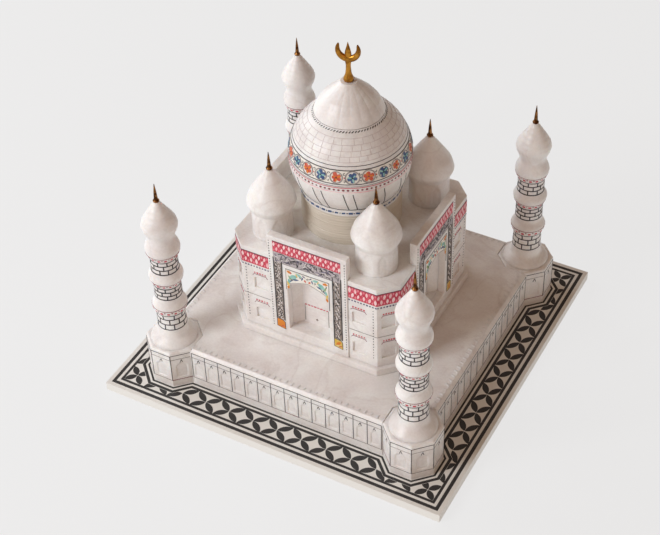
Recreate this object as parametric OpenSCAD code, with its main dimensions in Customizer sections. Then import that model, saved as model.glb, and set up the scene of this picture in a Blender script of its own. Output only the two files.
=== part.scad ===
// Miniature landmark model: a domed garden mausoleum in turned and carved alabaster.
// It stands on a square marble slab whose border is inlaid with black stone.
// Origin: centre of the slab's underside. +Z is up and -Y is the front.
// The four corner minarets stand on turned tenons and lift straight out of their turrets.

/* [Base slab] */
// Side of the square marble slab
slab_side = 152; // [150:1:190]
// Thickness of the slab
slab_t = 4; // [3:0.5:8]
// Plain marble left outside the outer black line
slab_margin = 1.7; // [1:0.1:2.5]

/* [Border inlay] */
// Width of the outer black line
outer_line_w = 1.4; // [0.8:0.1:2]
// Width of the inner black line
inner_line_w = 1.1; // [0.8:0.1:2]
// Pale gap between the two lines
line_gap = 1.2; // [0.8:0.1:2]
// Width of the flower band between the lines
band_w = 8; // [5:0.5:8]
// Flower crosses along one side, counting both corners
cross_count = 13; // [9:2:15]
// Greatest width of one petal
petal_w = 2.6; // [1.2:0.1:2.8]
// How deep the black stone is let into the slab
inlay_t = 0.8; // [0.5:0.1:2]
// Joint all round each inlaid stone
inlay_gap = 0.03; // [0.01:0.01:0.1]

/* [Plinth] */
// Height of the plinth above the slab
plinth_h = 18.8; // [14:0.2:26]
// Thickness of the four plinth walls
wall_t = 4; // [3:0.5:6]
// Thickness of the plinth's deck
deck_t = 4; // [3:0.5:6]
// Bevel along the deck's top edge
deck_bevel = 1.2; // [0.4:0.1:2]
// Thin black line at the foot of the plinth: its width
foot_line_w = 0.8; // [0.5:0.1:1]
// Black line that follows the plinth's outline: its width
trace_line_w = 1.2; // [0.8:0.1:1.4]
// From the plinth wall out to the start of the thin line
foot_line_off = 0.3; // [0.1:0.1:0.5]
// From the plinth wall out to the start of the outline line
trace_line_off = 2; // [1.8:0.1:2.2]

/* [Turrets] */
// Octagonal turret across its flats
turret_flats = 21.8; // [19:0.2:27]
// How far a turret stands out from the plinth walls
turret_out = 5.8; // [4.5:0.1:6.5]
// Bevel round the turret's top edge
turret_bevel = 1; // [0.4:0.1:1.6]

/* [Minarets] */
// Height of a minaret's stone above its turret
minaret_h = 70.3; // [60:0.1:84]
// Radius of the four bulges
bulge_r = 7; // [6:0.1:8]
// Radius of the waists between them
waist_r = 5.5; // [4.6:0.1:5.6]
// Height of the rounded mound that its foot stands in
mound_h = 4.4; // [2:0.1:7]
// Radius of the foot
minaret_foot_r = 6.1; // [5.6:0.1:7]
// Radius of the tenon under the foot
tenon_r = 3; // [2:0.1:4]
// Length of the tenon
tenon_len = 8; // [5:0.5:11]
// Radial clearance of the tenon in its socket
tenon_fit = 0.06; // [0.02:0.01:0.09]
// Space left under the tenon
socket_spare = 1; // [0.5:0.1:2]

/* [Mausoleum] */
// Width of the mausoleum over its plain wings
house_side = 73.2; // [66:0.2:76]
// Corner cut, measured along each wall
corner_cut = 6.8; // [4:0.2:9]
// Height of the stone step that the walls stand on
step_h = 3.4; // [2:0.2:5]
// How far the step stands out from the walls
step_out = 1.2; // [0.6:0.1:2]
// Height of the wing walls above the step
wing_h = 41.1; // [36:0.1:48]
// Depth of the shallow window niches
window_depth = 0.8; // [0.4:0.1:1.5]
// From a portal's edge to the middle of the window niches
window_off = 4.6; // [3.6:0.1:5.5]
// Width of the window niches
window_w = 5.8; // [4:0.1:6.5]
// Height of the window niches to the spring of their arch
window_h = 5; // [4:0.1:6]

/* [Portals] */
// Width of a portal slab
portal_w = 34.6; // [30:0.2:36]
// Height of a portal slab above the step
portal_h = 51.4; // [45:0.2:60]
// Thickness of a portal slab
portal_t = 3.2; // [2.4:0.2:4.5]
// How far a portal stands out from the wings
portal_out = 0.6; // [0.3:0.1:1.5]
// Width of the portal's arched opening
arch_w = 18.4; // [15:0.2:22]
// Height of the sill under the opening
arch_sill = 4.8; // [2:0.2:7]
// Height of the arch's spring above the sill
arch_spring = 23.4; // [18:0.2:26]
// Rise of the pointed arch
arch_rise = 4.1; // [3:0.1:7]
// Depth of the splayed niche cut in the wall behind the opening
niche_depth = 3; // [2:0.2:5]

/* [Corner kiosks] */
// Kiosk centres in from the wing walls, along X and Y
kiosk_inset = 13.7; // [13:0.1:14.2]
// Height of a kiosk's stone above the roof
kiosk_h = 30.2; // [24:0.1:34]
// Radius of the kiosk's body
kiosk_r = 8.2; // [7:0.1:8.4]
// Radius of its eaves
eaves_r = 9.9; // [9:0.1:11]

/* [Dome] */
// Radius of the dome's bulb
dome_r = 24; // [21:0.2:27]
// Height of the bulb's centre above the roof
dome_mid = 30.7; // [26:0.1:36]
// Radius of the drum under the dome
drum_r = 20; // [16:0.1:20.4]
// Height of the plain collar at the foot of the dome
collar_h = 3; // [1:0.1:4]
// Radius of the lotus cap's rim on top of the dome
cap_r = 13.8; // [11:0.1:15]
// Height of the lotus cap
cap_h = 13; // [9:0.1:16]
// Radius of the small flat on top of the cap, where the finial stands
cap_tip_r = 2.9; // [2.2:0.1:4]

/* [Brass finials] */
// Length of a minaret's pin above the stone
minaret_pin_h = 8.3; // [5:0.1:12]
// Length of a kiosk's pin above the stone
kiosk_pin_h = 7.9; // [5:0.1:12]
// Radius of the pins at their foot
pin_r = 0.8; // [0.6:0.05:1]
// Length of the shank that is pushed into the stone
shank_len = 6; // [4:0.5:8]
// Length of the crescent finial's stem
stem_h = 8.4; // [6:0.1:12]
// Outer radius of the crescent
crescent_r = 4.9; // [3.5:0.1:6]
// Thickness of the crescent plate
crescent_t = 1.6; // [1:0.1:2]
// Angle that the crescent is turned from the front
crescent_turn = 14; // [-45:1:45]

/* [Hidden] */

round_fn = 64;
petal_fn = 48;
eps = 0.01;
joint_gap = 0.05;

// heights of the tiers
deck_z = slab_t + plinth_h;
step_z = deck_z + step_h;
roof_z = step_z + wing_h;
kiosk_top_z = roof_z + kiosk_h;
minaret_top_z = deck_z + minaret_h;

// slab border, from its outer edge inwards
outer_line_half = slab_side / 2 - slab_margin;
inner_line_half = outer_line_half - outer_line_w - line_gap;
band_half = inner_line_half - inner_line_w;
cross_half = band_half - band_w / 2;
cross_pitch = 2 * cross_half / (cross_count - 1);
petal_gap = 0.15;
trace_edge = trace_line_off + trace_line_w + petal_gap;

// the plinth fills what the border leaves
plinth_side = 2 * (band_half - band_w - trace_line_w - trace_line_off);
turret_r = turret_flats / 2;
turret_off = plinth_side / 2 + turret_out - turret_r;
wall_len = 2 * (turret_off - turret_r);
wall_h = plinth_h - deck_t;
house_half = house_side / 2;
kiosk_off = house_half - kiosk_inset;
portal_inset = portal_t - portal_out;

// dome: the bulb is cut where it meets the drum below and the lotus cap above
dome_foot_r = drum_r + 0.2;
bulb_low_angle = -acos(dome_foot_r / dome_r);
drum_h = dome_mid + dome_r * sin(bulb_low_angle) - collar_h;
dome_mid_z = roof_z + dome_mid;
dome_foot_z = roof_z + drum_h;
bulb_high_angle = acos((cap_r - 0.7) / dome_r);
cap_rim_z = dome_mid_z + dome_r * sin(bulb_high_angle);
cap_top_z = cap_rim_z + cap_h;
finial_bore_r = 1;

// corner directions in the order front left, front right, back right, back left
CORNERS = [[-1, -1], [1, -1], [1, 1], [-1, 1]];

// points of a turned outline: each station is [radius, height, steps to reach it];
// one step is a straight line, more steps make a smooth S-shaped swell
function swell(t) = (1 - cos(180 * t)) / 2;
function turned(st) = concat([[st[0][0], st[0][1]]], [
    for (i = [1 : len(st) - 1])
        for (k = [1 : st[i][2]])
            let (t = k / st[i][2], u = st[i][2] == 1 ? 1 : swell(t))
            [st[i-1][0] + (st[i][0] - st[i-1][0]) * u, st[i-1][1] + (st[i][1] - st[i-1][1]) * t]
]);

// a pointed arch, open at the bottom: rounded haunches that rise to a flat point
function arch_points(w, spring, rise, steps = 6) = concat(
    [[-w / 2, 0], [-w / 2, spring]],
    [for (k = [1 : steps]) let (t = k / steps) [-w / 2 * (1 - t), spring + rise * pow(t, 0.65)]],
    [for (k = [steps - 1 : -1 : 1]) let (t = k / steps) [w / 2 * (1 - t), spring + rise * pow(t, 0.65)]],
    [[w / 2, spring], [w / 2, 0]]
);

module octagon(r) {
    rotate(22.5) circle(r = r / cos(22.5), $fn = 8);
}

module at_corner(i, off) {
    translate([CORNERS[i][0] * off, CORNERS[i][1] * off, 0]) children();
}

module lathe(stations) {
    rotate_extrude($fn = round_fn) polygon(concat([[0, stations[0][1]]], turned(stations),
        [[0, stations[len(stations) - 1][1]]]));
}

// ---- base slab and its inlay ----

module square_ring(half, w, h) {
    difference() {
        linear_extrude(h) square(2 * half, center = true);
        translate([0, 0, -eps]) linear_extrude(h + 2 * eps) square(2 * (half - w), center = true);
    }
}

// outline of the plinth with its turrets, grown by a distance
module plinth_outline(grow) {
    square(plinth_side + 2 * grow, center = true);
    for (i = [0 : 3]) at_corner(i, turret_off) octagon(turret_r + grow);
}

module outline_ring(off, w, h) {
    difference() {
        linear_extrude(h) plinth_outline(off + w);
        translate([0, 0, -eps]) linear_extrude(h + 2 * eps) plinth_outline(off);
    }
}

// a leaf-shaped petal along +X, as the overlap of two discs
module petal(reach, grow, h) {
    len_half = (reach - 2 * petal_gap) / 2 + grow;
    half_w = petal_w / 2 + grow;
    arc_r = (len_half * len_half + half_w * half_w) / (2 * half_w);
    translate([reach / 2, 0, 0]) intersection() {
        translate([0, arc_r - half_w, 0]) cylinder(r = arc_r, h = h, $fn = petal_fn);
        translate([0, half_w - arc_r, 0]) cylinder(r = arc_r, h = h, $fn = petal_fn);
    }
}

// true where a good part of a petal is outside the line that runs round a turret
function petal_clear(x, y) =
    let (dx = abs(abs(x) - turret_off), dy = abs(abs(y) - turret_off))
    max(dx, dy, (dx + dy) / sqrt(2)) > turret_r + trace_edge - petal_w / 4;

// crosses of four petals round the band, square at the corners to stay between the lines;
// the outline line's edge trims those next to a turret
module petals(grow, h) {
    difference() {
        for (side = [0 : 3], k = [0 : cross_count - 2]) {
            x = -cross_half + k * cross_pitch;
            span = k == 0 ? band_w : cross_pitch;
            reach = norm([span, band_w]) / 2;
            tilt = atan2(band_w, span);
            for (a = [tilt, 180 - tilt, 180 + tilt, -tilt]) {
                mid = [x + cos(a) * reach / 2, -cross_half + sin(a) * reach / 2];
                if (petal_clear(mid[0], mid[1]))
                    rotate(90 * side) translate([x, -cross_half, 0]) rotate(a) petal(reach, grow, h);
            }
        }
        for (i = [0 : 3]) at_corner(i, turret_off) translate([0, 0, -eps])
            linear_extrude(h + 2 * eps) octagon(turret_r + trace_edge - grow);
    }
}

module base_slab() {
    pocket_z = slab_t - inlay_t;
    cut_h = inlay_t + eps;
    color("whitesmoke") difference() {
        translate([-slab_side / 2, -slab_side / 2, 0]) cube([slab_side, slab_side, slab_t]);
        translate([0, 0, pocket_z]) {
            square_ring(outer_line_half + inlay_gap, outer_line_w + 2 * inlay_gap, cut_h);
            square_ring(inner_line_half + inlay_gap, inner_line_w + 2 * inlay_gap, cut_h);
            outline_ring(trace_line_off - inlay_gap, trace_line_w + 2 * inlay_gap, cut_h);
            outline_ring(foot_line_off - inlay_gap, foot_line_w + 2 * inlay_gap, cut_h);
            petals(inlay_gap, cut_h);
        }
    }
}

module border_outer_line() {
    color("black") translate([0, 0, slab_t - inlay_t]) square_ring(outer_line_half, outer_line_w, inlay_t);
}

module border_inner_line() {
    color("black") translate([0, 0, slab_t - inlay_t]) square_ring(inner_line_half, inner_line_w, inlay_t);
}

module border_petals() {
    color("black") translate([0, 0, slab_t - inlay_t]) petals(0, inlay_t);
}

module trace_line() {
    color("black") translate([0, 0, slab_t - inlay_t]) outline_ring(trace_line_off, trace_line_w, inlay_t);
}

module foot_line() {
    color("black") translate([0, 0, slab_t - inlay_t]) outline_ring(foot_line_off, foot_line_w, inlay_t);
}

// ---- plinth ----

// side 0 is the front wall, and each next one is a quarter turn on
module plinth_wall(side) {
    color("linen") rotate(90 * side)
        translate([-wall_len / 2, -plinth_side / 2, slab_t]) cube([wall_len, wall_t, wall_h]);
}

module plinth_deck() {
    color("linen") difference() {
        bevelled_plate(plinth_side / 2);
        for (i = [0 : 3]) at_corner(i, turret_off)
            translate([0, 0, deck_z - deck_t - eps]) linear_extrude(deck_t + 2 * eps)
                octagon(turret_r + joint_gap);
    }
}

// the deck's plate: one bar each way whose section carries the bevel, and what they share
module bevelled_plate(half) {
    section = [[-half, 0], [half, 0], [half, deck_t - deck_bevel], [half - deck_bevel, deck_t],
        [deck_bevel - half, deck_t], [-half, deck_t - deck_bevel]];
    translate([0, 0, deck_z - deck_t]) intersection() {
        translate([0, half, 0]) rotate([90, 0, 0]) linear_extrude(2 * half) polygon(section);
        translate([-half, 0, 0]) rotate([90, 0, 90]) linear_extrude(2 * half) polygon(section);
    }
}

module turret(i) {
    socket_h = tenon_len + socket_spare;
    color("linen") at_corner(i, turret_off) difference() {
        hull() {
            translate([0, 0, slab_t]) linear_extrude(plinth_h - turret_bevel) octagon(turret_r);
            translate([0, 0, slab_t]) linear_extrude(plinth_h) octagon(turret_r - turret_bevel);
        }
        translate([0, 0, deck_z - socket_h])
            cylinder(r = tenon_r + tenon_fit, h = socket_h + 1, $fn = round_fn);
    }
}

// ---- minarets ----

module minaret(i) {
    h = minaret_h;
    color("white") at_corner(i, turret_off) difference() {
        union() {
            translate([0, 0, deck_z]) lathe([
                [turret_r - turret_bevel - 0.3, 0, 1], [minaret_foot_r, mound_h, 6], [waist_r + 0.25, 0.195 * h, 1],
                [bulge_r + 0.1, 0.267 * h, 6], [waist_r + 0.1, 0.325 * h, 5],
                [waist_r, 0.418 * h, 1], [bulge_r, 0.483 * h, 5], [waist_r, 0.54 * h, 5],
                [waist_r - 0.05, 0.6 * h, 1], [bulge_r, 0.68 * h, 6], [waist_r - 0.1, 0.757 * h, 6],
                [bulge_r + 0.2, 0.845 * h, 6], [bulge_r, 0.862 * h, 1], [bulge_r - 0.6, 0.882 * h, 1],
                [bulge_r - 1.6, 0.905 * h, 1], [pin_r + 0.3, h, 1]
            ]);
            translate([0, 0, deck_z - tenon_len]) cylinder(r = tenon_r, h = tenon_len + eps, $fn = round_fn);
        }
        translate([0, 0, minaret_top_z - shank_len]) cylinder(r = pin_r * 0.75, h = shank_len + 1, $fn = 32);
    }
}

// a brass pin with a small seat, drawn out to a point, on a shank that goes into the stone
module pin(seat_z, h) {
    seat_r = pin_r + 0.35;
    color("darkgoldenrod") rotate_extrude($fn = 32) polygon([
        [0, seat_z - shank_len], [pin_r * 0.75, seat_z - shank_len], [pin_r * 0.75, seat_z],
        [seat_r, seat_z], [seat_r + 0.15, seat_z + 0.5], [pin_r, seat_z + 1.3],
        [pin_r * 0.7, seat_z + 0.55 * h], [0.12, seat_z + h], [0, seat_z + h]
    ]);
}

module minaret_pin(i) {
    at_corner(i, turret_off) pin(minaret_top_z, minaret_pin_h);
}

// ---- mausoleum ----

// square plan with its corners cut
module cut_square(half, cut) {
    polygon([[-half, -half + cut], [-half + cut, -half], [half - cut, -half], [half, -half + cut],
        [half, half - cut], [half - cut, half], [-half + cut, half], [-half, half - cut]]);
}

module house_step() {
    color("linen") translate([0, 0, deck_z]) linear_extrude(step_h)
        cut_square(house_half + portal_out + step_out, corner_cut + step_out);
}

// a shallow arched niche let into a wall that faces -Y, with its sill at z = 0
module window_niche(z) {
    translate([0, window_depth, z]) rotate([90, 0, 0]) linear_extrude(window_depth + 1)
        polygon(arch_points(window_w, window_h, window_w * 0.22, 4));
}

module wing_windows() {
    low_z = step_z + 4.2;
    high_z = step_z + 20.4;
    wing_mid = portal_w / 2 + window_off;
    cut_face = (2 * house_half - corner_cut) / sqrt(2);
    for (side = [0 : 3]) rotate(90 * side) {
        for (sx = [-1, 1], z = [low_z, high_z])
            translate([sx * wing_mid, -house_half, 0]) window_niche(z);
        for (z = [low_z, high_z]) rotate(45) translate([0, -cut_face, 0]) window_niche(z);
    }
}

// the splayed back of a portal niche, narrower the deeper it goes
module niche_splay() {
    mouth = arch_w / 2;
    back = mouth - niche_depth;
    back_y = portal_inset + niche_depth;
    intersection() {
        translate([0, 0, step_z + arch_sill]) linear_extrude(arch_spring + arch_rise)
            polygon([[-mouth, portal_inset - 1], [mouth, portal_inset - 1], [mouth, portal_inset],
                [back, back_y], [-back, back_y], [-mouth, portal_inset]]);
        translate([0, back_y + 1, step_z + arch_sill]) rotate([90, 0, 0])
            linear_extrude(back_y + 2) polygon(arch_points(arch_w, arch_spring, arch_rise));
    }
}

module house_block() {
    pocket_w = portal_w + 2 * joint_gap;
    color("white") difference() {
        translate([0, 0, step_z]) linear_extrude(wing_h) cut_square(house_half, corner_cut);
        for (side = [0 : 3]) rotate(90 * side) {
            translate([-pocket_w / 2, -house_half - 1, step_z - eps])
                cube([pocket_w, portal_inset + 1, wing_h + 2 * eps]);
            translate([0, -house_half, 0]) niche_splay();
        }
        wing_windows();
    }
}

module portal(side) {
    color("white") rotate(90 * side) translate([0, -house_half - portal_out, step_z]) difference() {
        translate([-portal_w / 2, 0, 0]) cube([portal_w, portal_t, portal_h]);
        translate([0, portal_t + 1, arch_sill]) rotate([90, 0, 0]) linear_extrude(portal_t + 2)
            polygon(arch_points(arch_w, arch_spring, arch_rise));
    }
}

// ---- roof: kiosks, drum and dome ----

module kiosk(i) {
    h = kiosk_h;
    color("white") at_corner(i, kiosk_off) difference() {
        translate([0, 0, roof_z]) lathe([
            [kiosk_r, 0, 1], [kiosk_r - 0.1, 0.38 * h, 1], [eaves_r - 0.7, 0.44 * h, 3], [eaves_r, 0.5 * h, 3],
            [0.97 * eaves_r, 0.545 * h, 1], [0.88 * eaves_r, 0.636 * h, 1], [0.67 * eaves_r, 0.742 * h, 1],
            [0.38 * eaves_r, 0.881 * h, 1], [pin_r + 0.4, h, 1]
        ]);
        translate([0, 0, kiosk_top_z - shank_len]) cylinder(r = pin_r * 0.75, h = shank_len + 1, $fn = 32);
    }
}

module kiosk_pin(i) {
    at_corner(i, kiosk_off) pin(kiosk_top_z, kiosk_pin_h);
}

module drum() {
    color("tan") translate([0, 0, roof_z]) cylinder(r = drum_r, h = drum_h, $fn = 96);
}

module dome() {
    arc_steps = 18;
    foot_rise = dome_mid_z + dome_r * sin(bulb_low_angle);
    bulb = [for (k = [0 : arc_steps])
        let (a = bulb_low_angle + (bulb_high_angle - bulb_low_angle) * k / arc_steps)
        [dome_r * cos(a), dome_mid_z + dome_r * sin(a)]];
    cap = [for (st = [[cap_r, 0], [0.93 * cap_r, 0.17], [0.84 * cap_r, 0.34], [0.68 * cap_r, 0.55],
        [0.47 * cap_r, 0.76], [cap_tip_r + 1, 0.93], [cap_tip_r, 1]]) [st[0], cap_rim_z + cap_h * st[1]]];
    color("white") difference() {
        rotate_extrude($fn = 96) polygon(concat(
            [[0, dome_foot_z], [dome_foot_r, dome_foot_z], [dome_foot_r, foot_rise]], bulb, cap, [[0, cap_top_z]]));
        translate([0, 0, cap_top_z - shank_len]) cylinder(r = finial_bore_r, h = shank_len + 1, $fn = 32);
    }
}

// brass crescent with its horns up and a spike between them, on a beaded stem
module crescent_finial() {
    bite_r = crescent_r * 0.8;
    bite_up = crescent_r * 0.33;
    centre_z = cap_top_z + stem_h + crescent_r - 0.3;
    color("goldenrod") rotate(crescent_turn) {
        translate([0, crescent_t / 2, centre_z]) rotate([90, 0, 0]) linear_extrude(crescent_t) {
            difference() {
                circle(r = crescent_r, $fn = 64);
                translate([0, bite_up]) circle(r = bite_r, $fn = 64);
            }
            polygon([[-1.7, -0.7 * crescent_r], [1.7, -0.7 * crescent_r], [1.1, -0.1 * crescent_r],
                [0, 0.76 * crescent_r], [-1.1, -0.1 * crescent_r]]);
        }
        rotate_extrude($fn = 32) polygon(concat([[0, cap_top_z - shank_len],
            [finial_bore_r, cap_top_z - shank_len], [finial_bore_r, cap_top_z]],
            turned([[1.8, cap_top_z, 1], [2, cap_top_z + 1.4, 3], [1.3, cap_top_z + 3.4, 4],
                [0.95, cap_top_z + 0.6 * stem_h, 3], [1, cap_top_z + stem_h + 0.8, 1]]),
            [[0, cap_top_z + stem_h + 0.8]]));
    }
}

base_slab();
border_outer_line();
border_inner_line();
border_petals();
trace_line();
foot_line();
plinth_wall(0);  // plinth_wall_front
plinth_wall(1);  // plinth_wall_right
plinth_wall(2);  // plinth_wall_back
plinth_wall(3);  // plinth_wall_left
plinth_deck();
turret(0);  // turret_front_left
turret(1);  // turret_front_right
turret(2);  // turret_back_right
turret(3);  // turret_back_left
minaret(0);  // minaret_front_left
minaret(1);  // minaret_front_right
minaret(2);  // minaret_back_right
minaret(3);  // minaret_back_left
minaret_pin(0);  // minaret_pin_front_left
minaret_pin(1);  // minaret_pin_front_right
minaret_pin(2);  // minaret_pin_back_right
minaret_pin(3);  // minaret_pin_back_left
house_step();
house_block();
portal(0);  // portal_front
portal(1);  // portal_right
portal(2);  // portal_back
portal(3);  // portal_left
kiosk(0);  // kiosk_front_left
kiosk(1);  // kiosk_front_right
kiosk(2);  // kiosk_back_right
kiosk(3);  // kiosk_back_left
kiosk_pin(0);  // kiosk_pin_front_left
kiosk_pin(1);  // kiosk_pin_front_right
kiosk_pin(2);  // kiosk_pin_back_right
kiosk_pin(3);  // kiosk_pin_back_left
drum();
dome();
crescent_finial();
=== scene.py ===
"""Looks of a miniature domed mausoleum, turned and carved in alabaster and painted by hand.

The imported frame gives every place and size. Lengths in this file are millimetres, turned to metres
where a mesh is made. Stone pieces whose surface is carved or turned are made finer here and stand
for their nodes; the painted work is thin raised enamel that lies on them; the rest keeps its own
mesh.
"""

import logging
import math
import random
from collections.abc import Callable, Iterable, Sequence
from dataclasses import dataclass, field
from enum import Enum

import bmesh
import bpy
import numpy as np
from mathutils import Matrix, Vector


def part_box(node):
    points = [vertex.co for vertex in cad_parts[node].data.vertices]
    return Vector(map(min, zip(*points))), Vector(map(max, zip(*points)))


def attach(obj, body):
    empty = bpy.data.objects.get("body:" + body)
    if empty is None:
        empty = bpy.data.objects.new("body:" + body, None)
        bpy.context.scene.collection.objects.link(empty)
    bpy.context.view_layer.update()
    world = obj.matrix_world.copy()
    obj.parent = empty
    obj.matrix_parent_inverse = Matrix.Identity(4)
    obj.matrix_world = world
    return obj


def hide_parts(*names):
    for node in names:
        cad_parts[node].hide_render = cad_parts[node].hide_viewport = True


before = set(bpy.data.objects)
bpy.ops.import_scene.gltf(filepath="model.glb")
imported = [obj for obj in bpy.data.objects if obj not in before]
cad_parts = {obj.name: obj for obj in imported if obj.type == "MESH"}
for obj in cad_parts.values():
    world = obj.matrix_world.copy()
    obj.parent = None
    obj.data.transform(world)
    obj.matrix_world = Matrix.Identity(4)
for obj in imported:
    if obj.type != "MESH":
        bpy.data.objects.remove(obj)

LOG = logging.getLogger("mausoleum")
MM = 0.001
MODEL_BODY = "model"
CORNERS = ("front_left", "front_right", "back_right", "back_left")
SIDES = ("front", "right", "back", "left")
PIN_BORE_R = 1.05  # every bore for a pin is narrower than this, and every outline is wider

Point = tuple[float, float]


# ---- small helpers ----


def linear(code: str) -> tuple[float, float, float, float]:
    """Turn an sRGB hex colour to linear light.

    Args:
        code: The colour, such as "#EFEFEF".

    Returns:
        Red, green, blue and an alpha of one.
    """
    parts = [int(code[i : i + 2], 16) / 255 for i in (1, 3, 5)]
    light = [c / 12.92 if c <= 0.04045 else ((c + 0.055) / 1.055) ** 2.4 for c in parts]
    return (light[0], light[1], light[2], 1.0)


def add_node(
    tree: bpy.types.NodeTree,
    kind: str,
    inputs: dict[str | int, object] | None = None,
    stops: Sequence[tuple[float, str]] = (),
    **settings: object,
) -> bpy.types.Node:
    """Add a node with its settings, its constants and its links.

    Args:
        tree: The tree that the node goes in.
        kind: The node's type name.
        inputs: For each input, by name or by number, a constant, an output socket, or a node whose
            first working output is joined to it.
        stops: A colour ramp's places from 0 to 1, each with an sRGB hex colour.
        settings: The node's own properties.

    Returns:
        The new node.
    """
    node = tree.nodes.new(kind)
    for key, value in settings.items():
        setattr(node, key, value)
    for key, value in (inputs or {}).items():
        if isinstance(value, bpy.types.Node):
            value = next(socket for socket in value.outputs if socket.enabled)
        if isinstance(value, bpy.types.NodeSocket):
            tree.links.new(value, node.inputs[key])
        else:
            node.inputs[key].default_value = value
    if stops:
        band = node.color_ramp.elements
        while len(band) < len(stops):
            band.new(0.5)
        for element, (place, code) in zip(band, stops):
            element.position = place
            element.color = linear(code)
    return node


def new_material(name: str) -> tuple[bpy.types.Material, bpy.types.NodeTree, bpy.types.NodeSocket]:
    """Start an empty node material.

    Args:
        name: The material's name.

    Returns:
        The material, its tree, and its Object coordinates.
    """
    mat = bpy.data.materials.new(name)
    mat.use_nodes = True
    mat.node_tree.nodes.clear()
    place = add_node(mat.node_tree, "ShaderNodeTexCoord").outputs["Object"]
    return mat, mat.node_tree, place


# ---- finishes ----


@dataclass(frozen=True)
class Stone:
    """Alabaster or marble, sawn or turned, then rubbed to a soft polish.

    Light goes a little way in, so edges glow and shadows are soft; clouds and faint veins drift
    through it, and rubbing leaves a fine uneven grain that dulls the gloss in patches.
    """

    name: str
    pale: str
    cloud: str
    vein: str
    cloud_mm: float = 16.0
    vein_mm: float = 30.0
    vein_share: float = 0.35
    glow: float = 0.3
    glow_mm: float = 2.2
    gloss: float = 0.36
    lathe_mm: float = 0.0
    lathe_dark: str = "#CDB9A2"
    tinted_border: tuple[float, float, float] | None = None
    # crystals of nearly a millimetre, the finest that still shows
    grain_mm: float = 0.9

    def material(self) -> bpy.types.Material:
        """Build the stone's node material.

        Returns:
            The material.
        """
        mat, tree, place = new_material(self.name)
        clouds = add_node(
            tree, "ShaderNodeTexNoise",
            {"Vector": place, "Scale": 1 / (self.cloud_mm * MM), "Detail": 4.0, "Distortion": 0.6},
        )
        base = add_node(
            tree, "ShaderNodeValToRGB", {"Fac": clouds}, ((0.36, self.cloud), (0.6, self.pale))
        )
        base = add_node(
            tree, "ShaderNodeMix",
            {0: self._veins(tree, place), 6: base, 7: linear(self.vein)}, data_type="RGBA",
        )
        grain = add_node(
            tree, "ShaderNodeTexNoise",
            {"Vector": place, "Scale": 1 / (self.grain_mm * MM), "Detail": 2.0},
        )
        specks = add_node(
            tree, "ShaderNodeValToRGB", {"Fac": grain}, ((0.3, "#9A928C"), (0.7, "#FFFFFF"))
        )
        base = add_node(
            tree, "ShaderNodeMix", {0: 0.10, 6: base, 7: specks},
            data_type="RGBA", blend_type="MULTIPLY",
        )
        height = add_node(tree, "ShaderNodeMath", {0: grain, 1: 0.35}, operation="MULTIPLY")
        if self.lathe_mm:
            base, height = self._striations(tree, place, base, height)
        if self.tinted_border:
            base = self._border_stars(tree, place, base)
        rough = add_node(
            tree, "ShaderNodeMapRange",
            {"Value": clouds, "To Min": self.gloss - 0.06, "To Max": self.gloss + 0.1},
        )
        bump = add_node(
            tree, "ShaderNodeBump", {"Height": height, "Strength": 0.22, "Distance": 0.06 * MM}
        )
        shader = add_node(tree, "ShaderNodeBsdfPrincipled", {
            "Base Color": base, "Roughness": rough, "Normal": bump, "IOR": 1.52,
            "Subsurface Weight": self.glow, "Subsurface Radius": (1.0, 0.82, 0.66),
            "Subsurface Scale": self.glow_mm * MM,
        })
        add_node(tree, "ShaderNodeOutputMaterial", {"Surface": shader})
        return mat

    def _veins(self, tree: bpy.types.NodeTree, place: bpy.types.NodeSocket) -> bpy.types.Node:
        """Draw faint veins where a slow warped noise crosses its middle.

        Args:
            tree: The material's tree.
            place: Object coordinates.

        Returns:
            The node that gives how much of the vein's colour shows.
        """
        warp = add_node(
            tree, "ShaderNodeTexNoise",
            {"Vector": place, "Scale": 1 / (self.vein_mm * MM), "Detail": 6.0, "Distortion": 1.4},
        )
        offset = add_node(tree, "ShaderNodeMath", {0: warp, 1: 0.5}, operation="SUBTRACT")
        line = add_node(tree, "ShaderNodeMath", {0: offset}, operation="ABSOLUTE")
        wide = add_node(tree, "ShaderNodeMath", {0: line, 1: 26.0}, operation="MULTIPLY")
        soft = add_node(tree, "ShaderNodeMath", {0: wide, 1: 1.0, 2: 0.1}, operation="SMOOTH_MIN")
        vein = add_node(tree, "ShaderNodeMath", {0: 1.0, 1: soft}, operation="SUBTRACT")
        return add_node(tree, "ShaderNodeMath", {0: vein, 1: self.vein_share}, operation="MULTIPLY")

    def _striations(
        self,
        tree: bpy.types.NodeTree,
        place: bpy.types.NodeSocket,
        base: bpy.types.Node,
        height: bpy.types.Node,
    ) -> tuple[bpy.types.Node, bpy.types.Node]:
        """Add the level rings that a lathe tool leaves.

        Args:
            tree: The material's tree.
            place: Object coordinates.
            base: The colour so far.
            height: The bump height so far.

        Returns:
            The new colour and height.
        """
        squash = add_node(
            tree, "ShaderNodeMapping", {"Vector": place, "Scale": (0.02, 0.02, 1.0)}
        )
        rings = add_node(
            tree, "ShaderNodeTexNoise",
            {"Vector": squash, "Scale": 1 / (self.lathe_mm * MM), "Detail": 3.0},
        )
        dark = add_node(
            tree, "ShaderNodeMapRange",
            {"Value": rings, "From Min": 0.42, "From Max": 0.7, "To Max": 0.55},
        )
        base = add_node(
            tree, "ShaderNodeMix", {0: dark, 6: base, 7: linear(self.lathe_dark)}, data_type="RGBA"
        )
        deep = add_node(tree, "ShaderNodeMath", {0: rings, 1: 1.5}, operation="MULTIPLY")
        return base, add_node(tree, "ShaderNodeMath", {0: height, 1: deep}, operation="ADD")

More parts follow.
